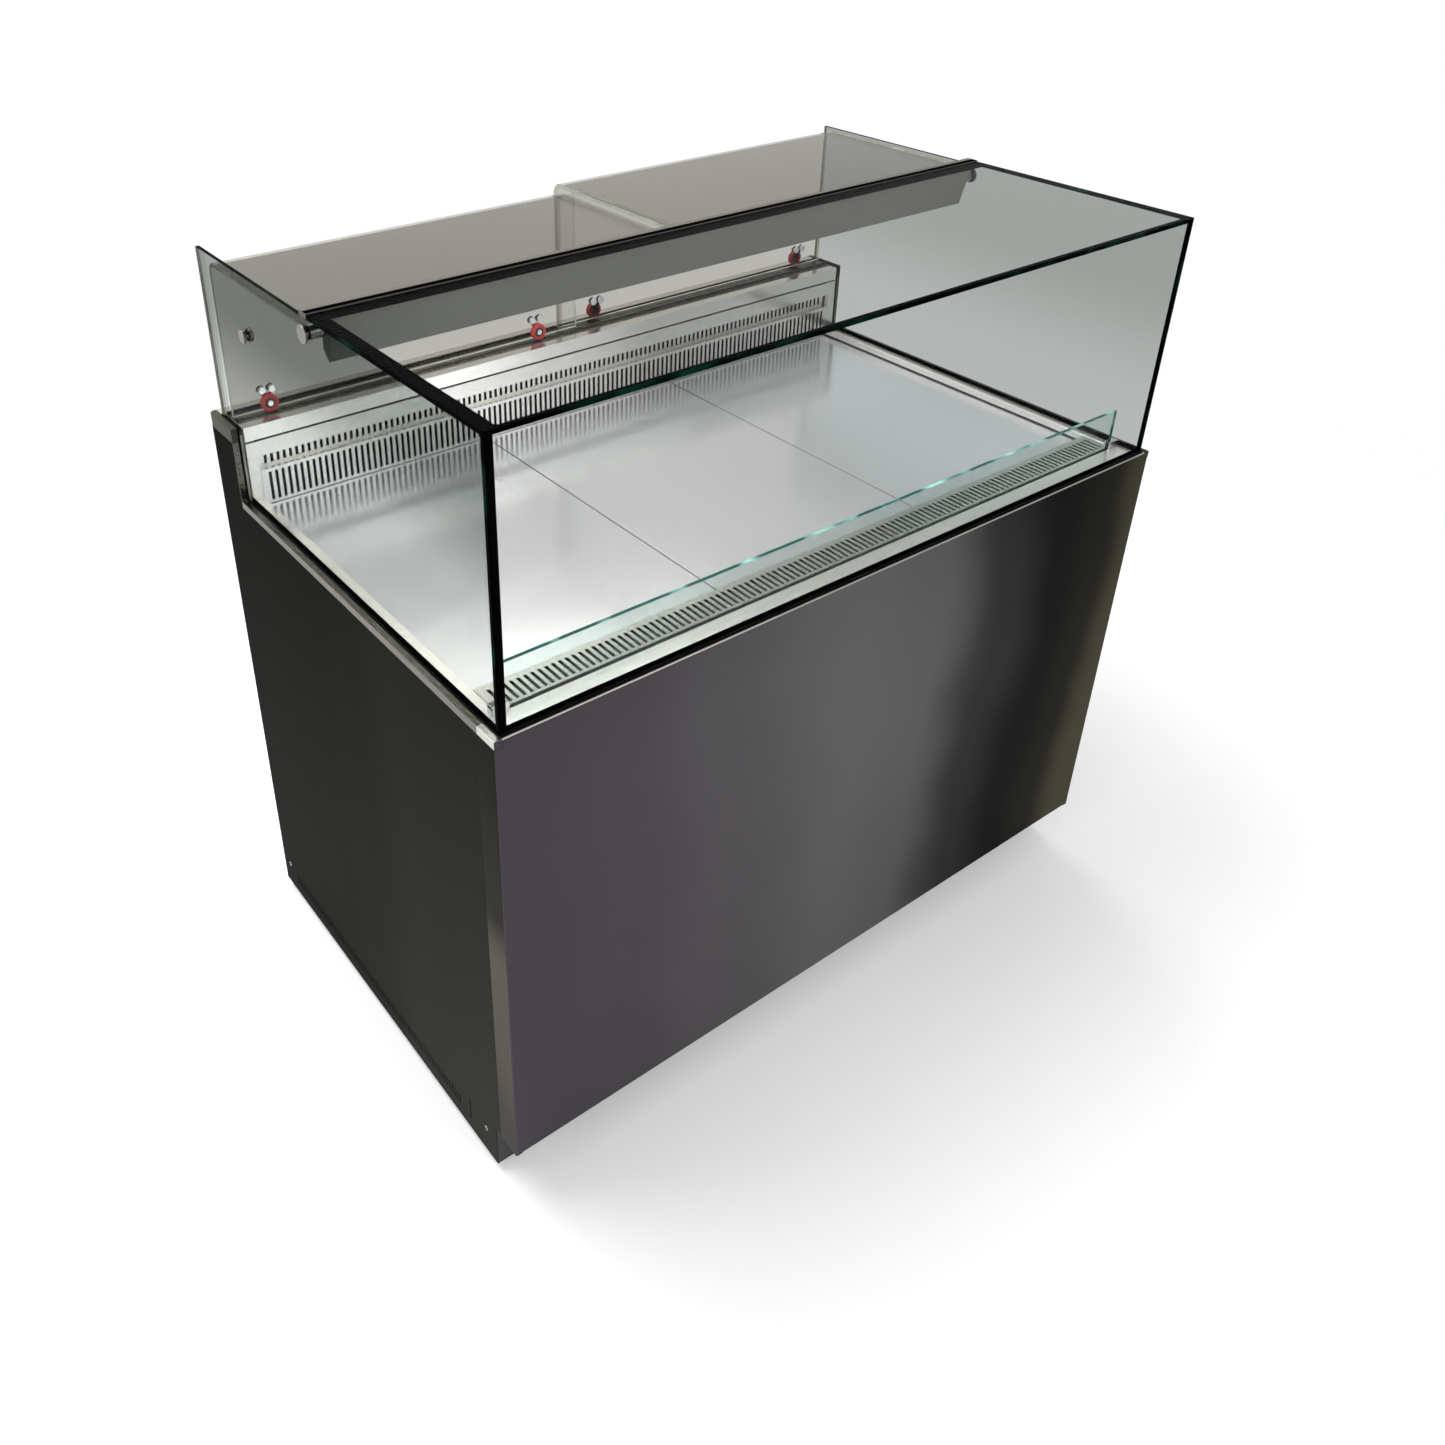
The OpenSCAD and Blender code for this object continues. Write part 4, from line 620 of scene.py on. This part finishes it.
def buildFrontSheet():
    # one sheet folded round both corners, over the top as a lip and under as a hem
    spec = frontSheet
    low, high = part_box(spec["node"])
    notchW, notchH = spec["notch"]
    shoulder = high.z - notchH
    deselect()
    bpy.ops.mesh.primitive_plane_add(size=1, location=(0, low.y, (low.z + high.z) / 2),
                                     rotation=(math.pi / 2, 0, 0))
    piece = bpy.context.object
    piece.name = "front_sheet"
    piece.scale = (high.x - low.x - 2 * notchW, high.z - low.z, 1)
    placeInMesh(piece)
    edit(piece)
    bpy.ops.mesh.select_all(action="SELECT")
    bpy.ops.mesh.bisect(plane_co=(0, 0, shoulder), plane_no=(0, 0, 1))
    for side in (-1, 1):
        inner = side * (high.x - notchW)
        select(piece, "EDGE", lambda at, edge: near(at.x, inner) and at.z < shoulder - mm)
        bpy.ops.mesh.extrude_region_move(TRANSFORM_OT_translate={"value": (side * notchW, 0, 0)})
        bpy.ops.mesh.extrude_region_move(TRANSFORM_OT_translate={"value": (0, spec["return"], 0)})
    select(piece, "EDGE", lambda at, edge: near(at.z, high.z))
    bpy.ops.mesh.extrude_region_move(TRANSFORM_OT_translate={"value": (0, spec["lip"], 0)})
    select(piece, "EDGE", lambda at, edge: near(at.z, low.z) and near(at.y, low.y)
           and abs(at.x) < high.x - notchW)
    bpy.ops.mesh.extrude_region_move(TRANSFORM_OT_translate={"value": (0, spec["hem"], 0)})
    select(piece, "EDGE", lambda at, edge: near(at.y, low.y) and len(edge.link_faces) == 2
           and edge.calc_face_angle() > 0.5)
    bpy.ops.mesh.bevel(offset=spec["fold"], segments=5, affect="EDGES")
    bpy.ops.mesh.select_all(action="SELECT")
    bpy.ops.mesh.normals_make_consistent(inside=False)
    bpy.ops.object.mode_set(mode="OBJECT")
    faceSheet(piece, -1)
    modify(piece, "SOLIDIFY", thickness=spec["wall"], offset=-1, use_even_offset=True)
    flatten(piece)
    # the sheet's coat carries painted reflections and a painted brighter foot
    finish(piece, "cabinet", frontSteel, "titanium_paint", spec["node"])
    # the returns carry painted reflections: paler towards the floor, near black at the top
    paintFaces(piece, returnSteel, lambda at, normal: abs(normal.x) > 0.8 and at.z < shoulder)
    # the top fold is painted bright as a painted highlight
    paintFaces(piece, foldHighlight, lambda at, normal: at.z > high.z - spec["fold"] and normal.z > 0.25)


# flat pan heads that stay inside the cabinet's outline
screwHead = {"across": 9 * mm, "proud": 1.3 * mm, "socket": 4 * mm, "deep": 0.9 * mm}
screwPlaces = {"height": 71 * mm, "front": 86 * mm, "rear": 30 * mm,                # on the side panels
               "edge": 18 * mm, "foot": 26 * mm, "topRow": 5, "bottomRow": 4}       # on the service grille


def addScrew(name, across, proud, socket, deep):
    # pan head with a hexagon socket, its seat at the origin and its head towards -Y
    deselect()
    bpy.ops.mesh.primitive_cylinder_add(vertices=24, radius=across / 2, depth=proud,
                                        location=(0, -proud / 2, 0), rotation=(math.pi / 2, 0, 0))
    piece = bpy.context.object
    piece.name = name
    placeInMesh(piece)
    edit(piece)
    select(piece, "EDGE", lambda at, edge: near(at.y, -proud) and math.hypot(at.x, at.z) > across * 0.4)
    bpy.ops.mesh.bevel(offset=proud * 0.5, segments=3, affect="EDGES")
    select(piece, "FACE", lambda at, face: face.normal.y < -0.99)
    bpy.ops.mesh.inset(thickness=across * 0.5 - proud * 0.5 - socket / 2)
    bpy.ops.mesh.extrude_region_move(TRANSFORM_OT_translate={"value": (0, deep, 0)})
    bpy.ops.object.mode_set(mode="OBJECT")
    smooth(piece, 40)
    return piece


def rowOf(first, last, count):
    return [first + (last - first) * i / (count - 1) for i in range(count)]


def buildScrews():
    pattern = addScrew("screw_pattern", **screwHead)
    panelLow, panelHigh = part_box("side_panel_right")
    grilleLow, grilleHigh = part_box("service_grille")
    heads = []
    for side in (-1, 1):
        turn = Matrix.Rotation(side * math.pi / 2, 4, "Z")
        for y in (panelLow.y + screwPlaces["front"], panelHigh.y - screwPlaces["rear"]):
            heads.append(copyPiece(pattern, "head", (side * panelHigh.x, y, screwPlaces["height"]), turn))
    back = Matrix.Rotation(math.pi, 4, "Z")
    edge = screwPlaces["edge"]
    for z, count in ((grilleHigh.z - edge, screwPlaces["topRow"]),
                     (grilleLow.z + screwPlaces["foot"], screwPlaces["bottomRow"])):
        for x in rowOf(grilleLow.x + edge, grilleHigh.x - edge, count):
            heads.append(copyPiece(pattern, "head", (x, grilleHigh.y, z), back))
    piece = joinPieces(heads, "panel_screws")
    finish(piece, "cabinet", nickel, "bright_steel")
    bpy.data.objects.remove(pattern)


cabinetParts = {
    # the side sheets' coat carries painted shade, lighter at the front and foot
    "side_panel_left": ("side_sheet_left", sideSteel, 0.3, 1),
    "side_panel_right": ("side_sheet_right", sideSteel, 0.3, 1),
    "rear_skin": ("rear_sheet", rearSteel, 0.4),
    "service_grille": ("rear_grille", blackSteel, 0.3, 1),
    "kick_plate": ("toe_plate", blackSteel, 0.5),
    "side_trims": ("side_profiles", trimSteel, 0.6),
    "trim_caps": ("profile_caps", capSteel, 0.8, 3),
    "base_frame": ("welded_frame", framePaint, 0.6, 1),
    "levelling_feet": ("foot_pads", blackNylon, 0.6),
}


def buildCabinet():
    buildFrontSheet()
    caps = remakeAll(cabinetParts)["trim_caps"]
    # the rear caps are dark, and the front ones face forwards in the front sheet's finish
    paintFaces(caps, rearCapPaint, lambda at, normal: at.y > 0)
    paintFaces(caps, frontSteel, lambda at, normal: at.y < 0 and (normal.y < -0.7 or at.x > 0))
    dress("insulated_tub", foam)
    buildScrews()


buildCabinet()
print("outer cabinet is built")


# Display well

deckTray = {"nodes": ("deck_panel_left", "deck_panel_centre", "deck_panel_right"),
            "wall": 1.2 * mm, "fold": 0.9 * mm}


def pressedTray(name, low, high, wall, fold):
    # a sheet with its four sides folded down: a block without its floor, folds rounded, then its wall
    piece = addBlock(name, low, high)
    edit(piece)
    select(piece, "FACE", lambda at, face: near(at.z, low.z))
    bpy.ops.mesh.delete(type="FACE")
    select(piece, "EDGE", lambda at, edge: len(edge.link_faces) == 2)
    bpy.ops.mesh.bevel(offset=fold, segments=4, affect="EDGES")
    bpy.ops.object.mode_set(mode="OBJECT")
    modify(piece, "SOLIDIFY", thickness=wall, offset=-1, use_even_offset=True)
    flatten(piece)
    return piece


def buildDeck():
    first = None
    for node in deckTray["nodes"]:
        low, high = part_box(node)
        if first is None:
            name = node.replace("panel", "tray")
            piece = first = pressedTray(name, low, high, deckTray["wall"], deckTray["fold"])
            origin = low.x
        else:
            piece = copyPiece(first, node.replace("panel", "tray"), (low.x - origin, 0, 0))
        finish(piece, "cabinet", deckSteel, slotOf[node], node)
        # the folds in the narrow gaps between the trays are painted in the liner's darker grey, as painted
        # shade, since they get no light
        paintFaces(piece, linerSteel, lambda at, normal: abs(normal.z) < 0.9)


wellParts = {
    "side_ledges": ("side_rests", restSteel, 0.5),
    "front_ledge": ("front_rest", restSteel, 0.8, 3),
    "return_grille": ("air_return", ductSteel, 0.25, 1),
    "duct_plate": ("air_outlet", ductSteel, 0.25, 1),
    "ledge_nosing": ("outlet_nosing", ductSteel, 0.5),
    "ledge_cover": ("service_top", ledgeSteel, 0.7, 3),
    "door_track": ("twin_track", trimSteel, 0.3),
    "riser_clips": ("riser_holders", chrome, 0.6),
    "tub_liner": ("liner_pan", linerSteel, 0),
}


def buildWell():
    buildDeck()
    liner = remakeAll(wellParts)["tub_liner"]
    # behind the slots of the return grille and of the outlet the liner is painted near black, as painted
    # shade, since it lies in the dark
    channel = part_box("front_ledge")[1].y
    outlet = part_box("duct_plate")[0].y
    paintFaces(liner, linerShade, lambda at, normal: at.y < channel or at.y > outlet)
    dress("deck_bearers", galvanised)


buildWell()
print("display well is built")


# Glass case

# the widths of the black strips along the panes' edges: on the front pane at its corners and foot,
# on the top pane's underside along its front, sides and rear, and on the beam's top
bonding = {"cornerLeft": 15 * mm, "cornerRight": 7 * mm, "front": 16 * mm, "sideLeft": 25 * mm,
           "sideRight": 10 * mm, "rear": 20 * mm, "beam": 11 * mm, "foot": 5 * mm}
seals = {"proud": 2.4 * mm, "out": 5.2 * mm, "side": 2.2 * mm, "step": 5 * mm, "rounding": 0.8 * mm}
arris = 0.5   # the ground edge of each pane, in mm


def pane(node, name, glass, edge, axis):
    # the axis is the one across the pane's thickness
    piece = remake(node, name, glass, arris, 1)
    paintFaces(piece, edge, lambda at, normal: abs(normal[axis]) < 0.9)
    return piece


def cutPane(piece, axis, *places):
    # the faces are divided, so that the strips beyond the cuts can be painted
    edit(piece)
    for place in places:
        middle, across = [0, 0, 0], [0, 0, 0]
        middle[axis] = place
        across[axis] = 1
        bpy.ops.mesh.select_all(action="SELECT")
        bpy.ops.mesh.bisect(plane_co=middle, plane_no=across)
    bpy.ops.object.mode_set(mode="OBJECT")


def buildPanes():
    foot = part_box("front_panel")[1].z + bonding["foot"]
    for side, sign, glass in (("left", -1, leftGlass), ("right", 1, rightGlass)):
        piece = pane("side_glass_" + side, "pane_" + side, glass, sideEdge, 0)
        paintFaces(piece, doorEdge, lambda at, normal: normal.y > 0.9)
        if side == "left":
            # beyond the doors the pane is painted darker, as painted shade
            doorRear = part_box("door_glass_left")[1].y
            cutPane(piece, 1, doorRear)
            paintFaces(piece, tailGlass, lambda at, normal: at.y > doorRear and abs(normal.x) > 0.9)
        cutPane(piece, 2, foot)
        paintFaces(piece, bondSilicone, lambda at, normal: at.z < foot and normal.x * sign < -0.9)
    pane("riser_glass", "pane_riser", riserGlass, riserEdge, 1)

    # the front pane is bonded to the side panes and to the ledge, with black strips on its inner face
    front = pane("front_glass", "pane_front", paneGlass, paneEdge, 1)
    low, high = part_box("front_glass")
    left, right = low.x + bonding["cornerLeft"], high.x - bonding["cornerRight"]
    cutPane(front, 0, left, right)
    cutPane(front, 2, foot)
    paintFaces(front, bondSilicone, lambda at, normal: normal.y > 0.9 and (
        not left < at.x < right or at.z < foot))

    # the top pane is bonded all round, with black strips on its underside
    top = pane("top_glass", "pane_top", paneGlass, paneEdge, 2)
    low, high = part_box("top_glass")
    left, right = low.x + bonding["sideLeft"], high.x - bonding["sideRight"]
    front, rear = low.y + bonding["front"], high.y - bonding["rear"]
    cutPane(top, 0, left, right)
    cutPane(top, 1, front, rear)
    paintFaces(top, bondSilicone, lambda at, normal: normal.z < -0.9 and not (
        left < at.x < right and front < at.y < rear))


def buildSeals():
    # black silicone outside the front pane, beside the side panes and up their step at the rear
    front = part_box("front_glass")[0]
    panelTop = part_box("front_panel")[1].z
    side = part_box("side_glass_right")[1]
    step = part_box("side_trims")[1].y
    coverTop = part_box("ledge_cover")[1].z
    strips = [addBlock("strip", (front.x + mm, front.y - seals["out"], panelTop),
                       (-front.x - mm, front.y, panelTop + seals["proud"]))]
    for s in (-1, 1):
        edges = sorted((s * side.x, s * (side.x + seals["side"])))
        for first, last in (
                ((front.y, panelTop), (step - seals["step"], panelTop + seals["proud"])),
                ((step - seals["step"], panelTop), (step, coverTop + seals["proud"])),
                ((step, coverTop), (side.y, coverTop + seals["proud"]))):
            strips.append(addBlock("strip", (edges[0], *first), (edges[1], *last)))
    for strip in strips:
        roundEdges(strip, seals["rounding"], 3)
    finish(joinPieces(strips, "outer_seals"), "cabinet", beadSilicone, "silicone")


caseParts = {
    "glass_beads": ("inner_seals", beadSilicone, 0.9, 3),
    "canopy_beam": ("rear_beam", beamPaint, 0.5),
    "lamp_housing": ("lamp_cover", lampPaint, 0.4),
    "led_lamp": ("lamp_tube", galvanised, 0.3),
    "glass_fixings": ("stand_offs", nickel, 1.0, 3),
}
opalDepth = 5.2 * mm   # of the diffuser along the lamp's front


def buildCase():
    buildPanes()
    buildSeals()
    made = remakeAll(caseParts)
    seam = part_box("top_glass")[1].y + bonding["beam"]
    cutPane(made["canopy_beam"], 1, seam)
    paintFaces(made["canopy_beam"], bondSilicone, lambda at, normal: normal.z > 0.9 and at.y < seam)
    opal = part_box("led_lamp")[0].y + opalDepth
    paintFaces(made["led_lamp"], diffuser, lambda at, normal: at.y < opal)


buildCase()
print("glass case is built")


# Sliding doors

slidingDoor = {"left": ("door_glass_left", "door_left"), "right": ("door_glass_right", "door_right"),
               "bend": 18 * mm, "thick": 6 * mm, "steps": 14, "arris": 0.6 * mm}


def buildDoor(side):
    # a flat pane, spun round the bend and drawn forward, then given its thickness
    node, body = slidingDoor[side]
    low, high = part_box(node)
    bend = slidingDoor["bend"]
    deselect()
    height = high.z - bend - low.z
    bpy.ops.mesh.primitive_plane_add(size=1, location=((low.x + high.x) / 2, high.y, low.z + height / 2),
                                     rotation=(math.pi / 2, 0, 0))
    piece = bpy.context.object
    piece.name = "sliding_pane_" + side
    piece.scale = (high.x - low.x, height, 1)
    placeInMesh(piece)
    edit(piece)
    select(piece, "EDGE", lambda at, edge: near(at.z, high.z - bend))
    bpy.ops.mesh.spin(steps=slidingDoor["steps"], angle=-math.pi / 2, axis=(1, 0, 0),
                      center=(0, high.y - bend, high.z - bend))
    mesh = bmesh.from_edit_mesh(piece.data)
    if max(v.co.z for v in mesh.verts) < high.z - mm:
        raise RuntimeError("the bend turned the wrong way")
    select(piece, "EDGE", lambda at, edge: near(at.z, high.z) and near(at.y, high.y - bend))
    bpy.ops.mesh.extrude_region_move(TRANSFORM_OT_translate={"value": (0, low.y - (high.y - bend), 0)})
    bpy.ops.mesh.select_all(action="SELECT")
    bpy.ops.mesh.remove_doubles(threshold=0.01 * mm)
    bpy.ops.mesh.normals_make_consistent(inside=False)
    bpy.ops.object.mode_set(mode="OBJECT")
    faceSheet(piece, 1)
    piece.data.materials.append(doorGlass)
    piece.data.materials.append(doorEdge)
    modify(piece, "SOLIDIFY", thickness=slidingDoor["thick"], offset=-1, use_even_offset=True,
           material_offset_rim=1)
    roundEdges(piece, slidingDoor["arris"], 1, 50)
    if side == "left":
        # the grey film stops where this pane always stands behind the other one
        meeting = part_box(slidingDoor["right"][0])[0].x
        cutPane(piece, 0, meeting)
        paintFaces(piece, clearGlass, lambda at, normal: at.x > meeting and abs(normal.x) < 0.5)
    finish(piece, body, None, "pane", node)


# the radii where one ring ends and the next begins, and the groove's depth
roller = {"wheels": ("left_outer", "left_inner", "right_inner", "right_outer"), "bore": 2.6 * mm,
          "hub": 4.8 * mm, "core": 8.4 * mm, "groove": 3 * mm}


def turnedRing(name, inner, outer, start, end, rounding, groove):
    # a ring on the Y axis, turned from a rectangular section with rounded corners
    deselect()
    width = end - start
    bpy.ops.mesh.primitive_plane_add(size=1, location=(0, start + width / 2, (inner + outer) / 2),
                                     rotation=(0, math.pi / 2, 0))
    piece = bpy.context.object
    piece.name = name
    piece.scale = (outer - inner, width, 1)
    placeInMesh(piece)
    edit(piece)
    if groove:
        for share in (0.24, 0.5, 0.76):   # the groove's rims and its bottom
            bpy.ops.mesh.select_all(action="SELECT")
            bpy.ops.mesh.bisect(plane_co=(0, start + width * share, 0), plane_no=(0, 1, 0))
        select(piece, "VERT", lambda at, vert: near(at.z, outer) and near(at.y, start + width / 2))
        bpy.ops.transform.translate(value=(0, 0, -groove))
    bpy.ops.mesh.select_all(action="SELECT")
    bpy.ops.mesh.delete(type="ONLY_FACE")
    select(piece, "EDGE", lambda at, edge: groove and near(edge.verts[0].co.y, edge.verts[1].co.y)
           and start + 0.1 * mm < at.y < end - 0.1 * mm)
    bpy.ops.mesh.delete(type="EDGE")
    select(piece, "VERT", lambda at, vert: True)
    bpy.ops.mesh.bevel(offset=rounding, segments=3, affect="VERTICES")
    bpy.ops.mesh.select_all(action="SELECT")
    bpy.ops.mesh.spin(steps=48, angle=2 * math.pi, axis=(0, 1, 0), center=(0, 0, 0))
    bpy.ops.mesh.select_all(action="SELECT")
    bpy.ops.mesh.remove_doubles(threshold=0.005 * mm)
    bpy.ops.mesh.normals_make_consistent(inside=False)
    bpy.ops.object.mode_set(mode="OBJECT")
    smooth(piece, 40)
    return piece


def buildRollers():
    low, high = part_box("roller_left_outer")
    radius = (high.z - low.z) / 2
    width = high.y - low.y
    rings = []
    for part, inner, outer, setback, rounding, material, groove in (
            ("tyre", roller["core"], radius, 0, 0.5 * mm, redUrethane, roller["groove"]),
            ("core", roller["hub"], roller["core"], 0.5 * mm, 0.3 * mm, blackNylon, 0),
            ("hub", roller["bore"], roller["hub"], 0.1 * mm, 0.3 * mm, zincSteel, 0)):
        ring = turnedRing(part, inner, outer, setback, width - setback, rounding, groove)
        ring.data.materials.append(material)
        rings.append(ring)
    pattern = joinPieces(rings, "wheel_pattern")
    for name in roller["wheels"]:
        node = "roller_" + name
        low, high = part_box(node)
        piece = copyPiece(pattern, "wheel_" + name, ((low.x + high.x) / 2, low.y, (low.z + high.z) / 2))
        finish(piece, bodyOf(node), None, slotOf[node], node)
    bpy.data.objects.remove(pattern)


def buildDoors():
    for side in ("left", "right"):
        buildDoor(side)
        remake("door_hardware_" + side, "hangers_" + side, chrome, 0.4, 2)
    buildRollers()


buildDoors()
print("sliding doors are built")


# Cooling

coolingParts = {
    "fan_plate": ("fan_bulkhead", galvanised, 0.4),
    "evaporator_coil": ("evaporator_block", finAluminium, 0),
    "evap_fan_left": ("blades_left", fanNylon, 0.5),
    "evap_fan_centre": ("blades_centre", fanNylon, 0.5),
    "evap_fan_right": ("blades_right", fanNylon, 0.5),
    "evap_fan_motors": ("fan_motors", blackAbs, 0.6),
    "unit_base": ("unit_tray", blackSteel, 0.6),
    "compressor": ("compressor_shell", shellEnamel, 0.8),
    "condenser_coil": ("condenser_block", blackSteel, 0),
    "fan_shroud": ("fan_cowl", blackSteel, 0.4),
    "condenser_fan": ("condenser_blades", finAluminium, 0.5),
    "refrigerant_pipes": ("copper_lines", copper, 0),
    "condensate_tray": ("drip_pan", blackAbs, 0.6),
}

remakeAll(coolingParts)
print("cooling is built")


# Controls on the service side

# the window and the block of keys lie beside the controller's middle
keypad = {"window": (36 * mm, 17 * mm), "windowX": 11 * mm, "lens": 0.5 * mm, "lensRounding": 0.3 * mm,
          "keysX": -22 * mm, "key": 5.2 * mm, "pitch": 8.6 * mm, "proud": 0.9 * mm, "keyRounding": 0.6 * mm,
          "sunk": 1 * mm}


def facePlate(name, x, z, wide, tall, proud, rounding, segments):
    # a rounded block let into the controller's face
    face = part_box("controller")[1].y
    piece = addBlock(name, (x - wide / 2, face - keypad["sunk"], z - tall / 2),
                     (x + wide / 2, face + proud, z + tall / 2))
    roundEdges(piece, rounding, segments)
    return piece


def buildThermostatFace():
    # a dark red window over the display, and four soft keys beside it
    low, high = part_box("controller")
    centre = (low + high) / 2
    lens = facePlate("display_window", centre.x + keypad["windowX"], centre.z, *keypad["window"],
                     keypad["lens"], keypad["lensRounding"], 2)
    finish(lens, bodyOf("controller"), displayAcrylic, slotOf["controller"])
    caps = []
    for across in (-0.5, 0.5):
        for up in (-0.5, 0.5):
            x = centre.x + keypad["keysX"] + across * keypad["pitch"]
            caps.append(facePlate("cap", x, centre.z + up * keypad["pitch"], keypad["key"], keypad["key"],
                                  keypad["proud"], keypad["keyRounding"], 3))
    finish(joinPieces(caps, "key_caps"), bodyOf("controller"), keyRubber, slotOf["controller"])


controlParts = {
    "control_panel": ("switch_plate", blackAbs, 0.5),
    "controller": ("thermostat", blackAbs, 0.8, 3),
    "power_rocker": ("rocker_mains", redPolycarbonate, 0.5),
    "light_rocker": ("rocker_lamp", redPolycarbonate, 0.5),
    "mains_inlet": ("inlet_socket", blackAbs, 0.5),
}

remakeAll(controlParts)
buildThermostatFace()
print("controls are built")
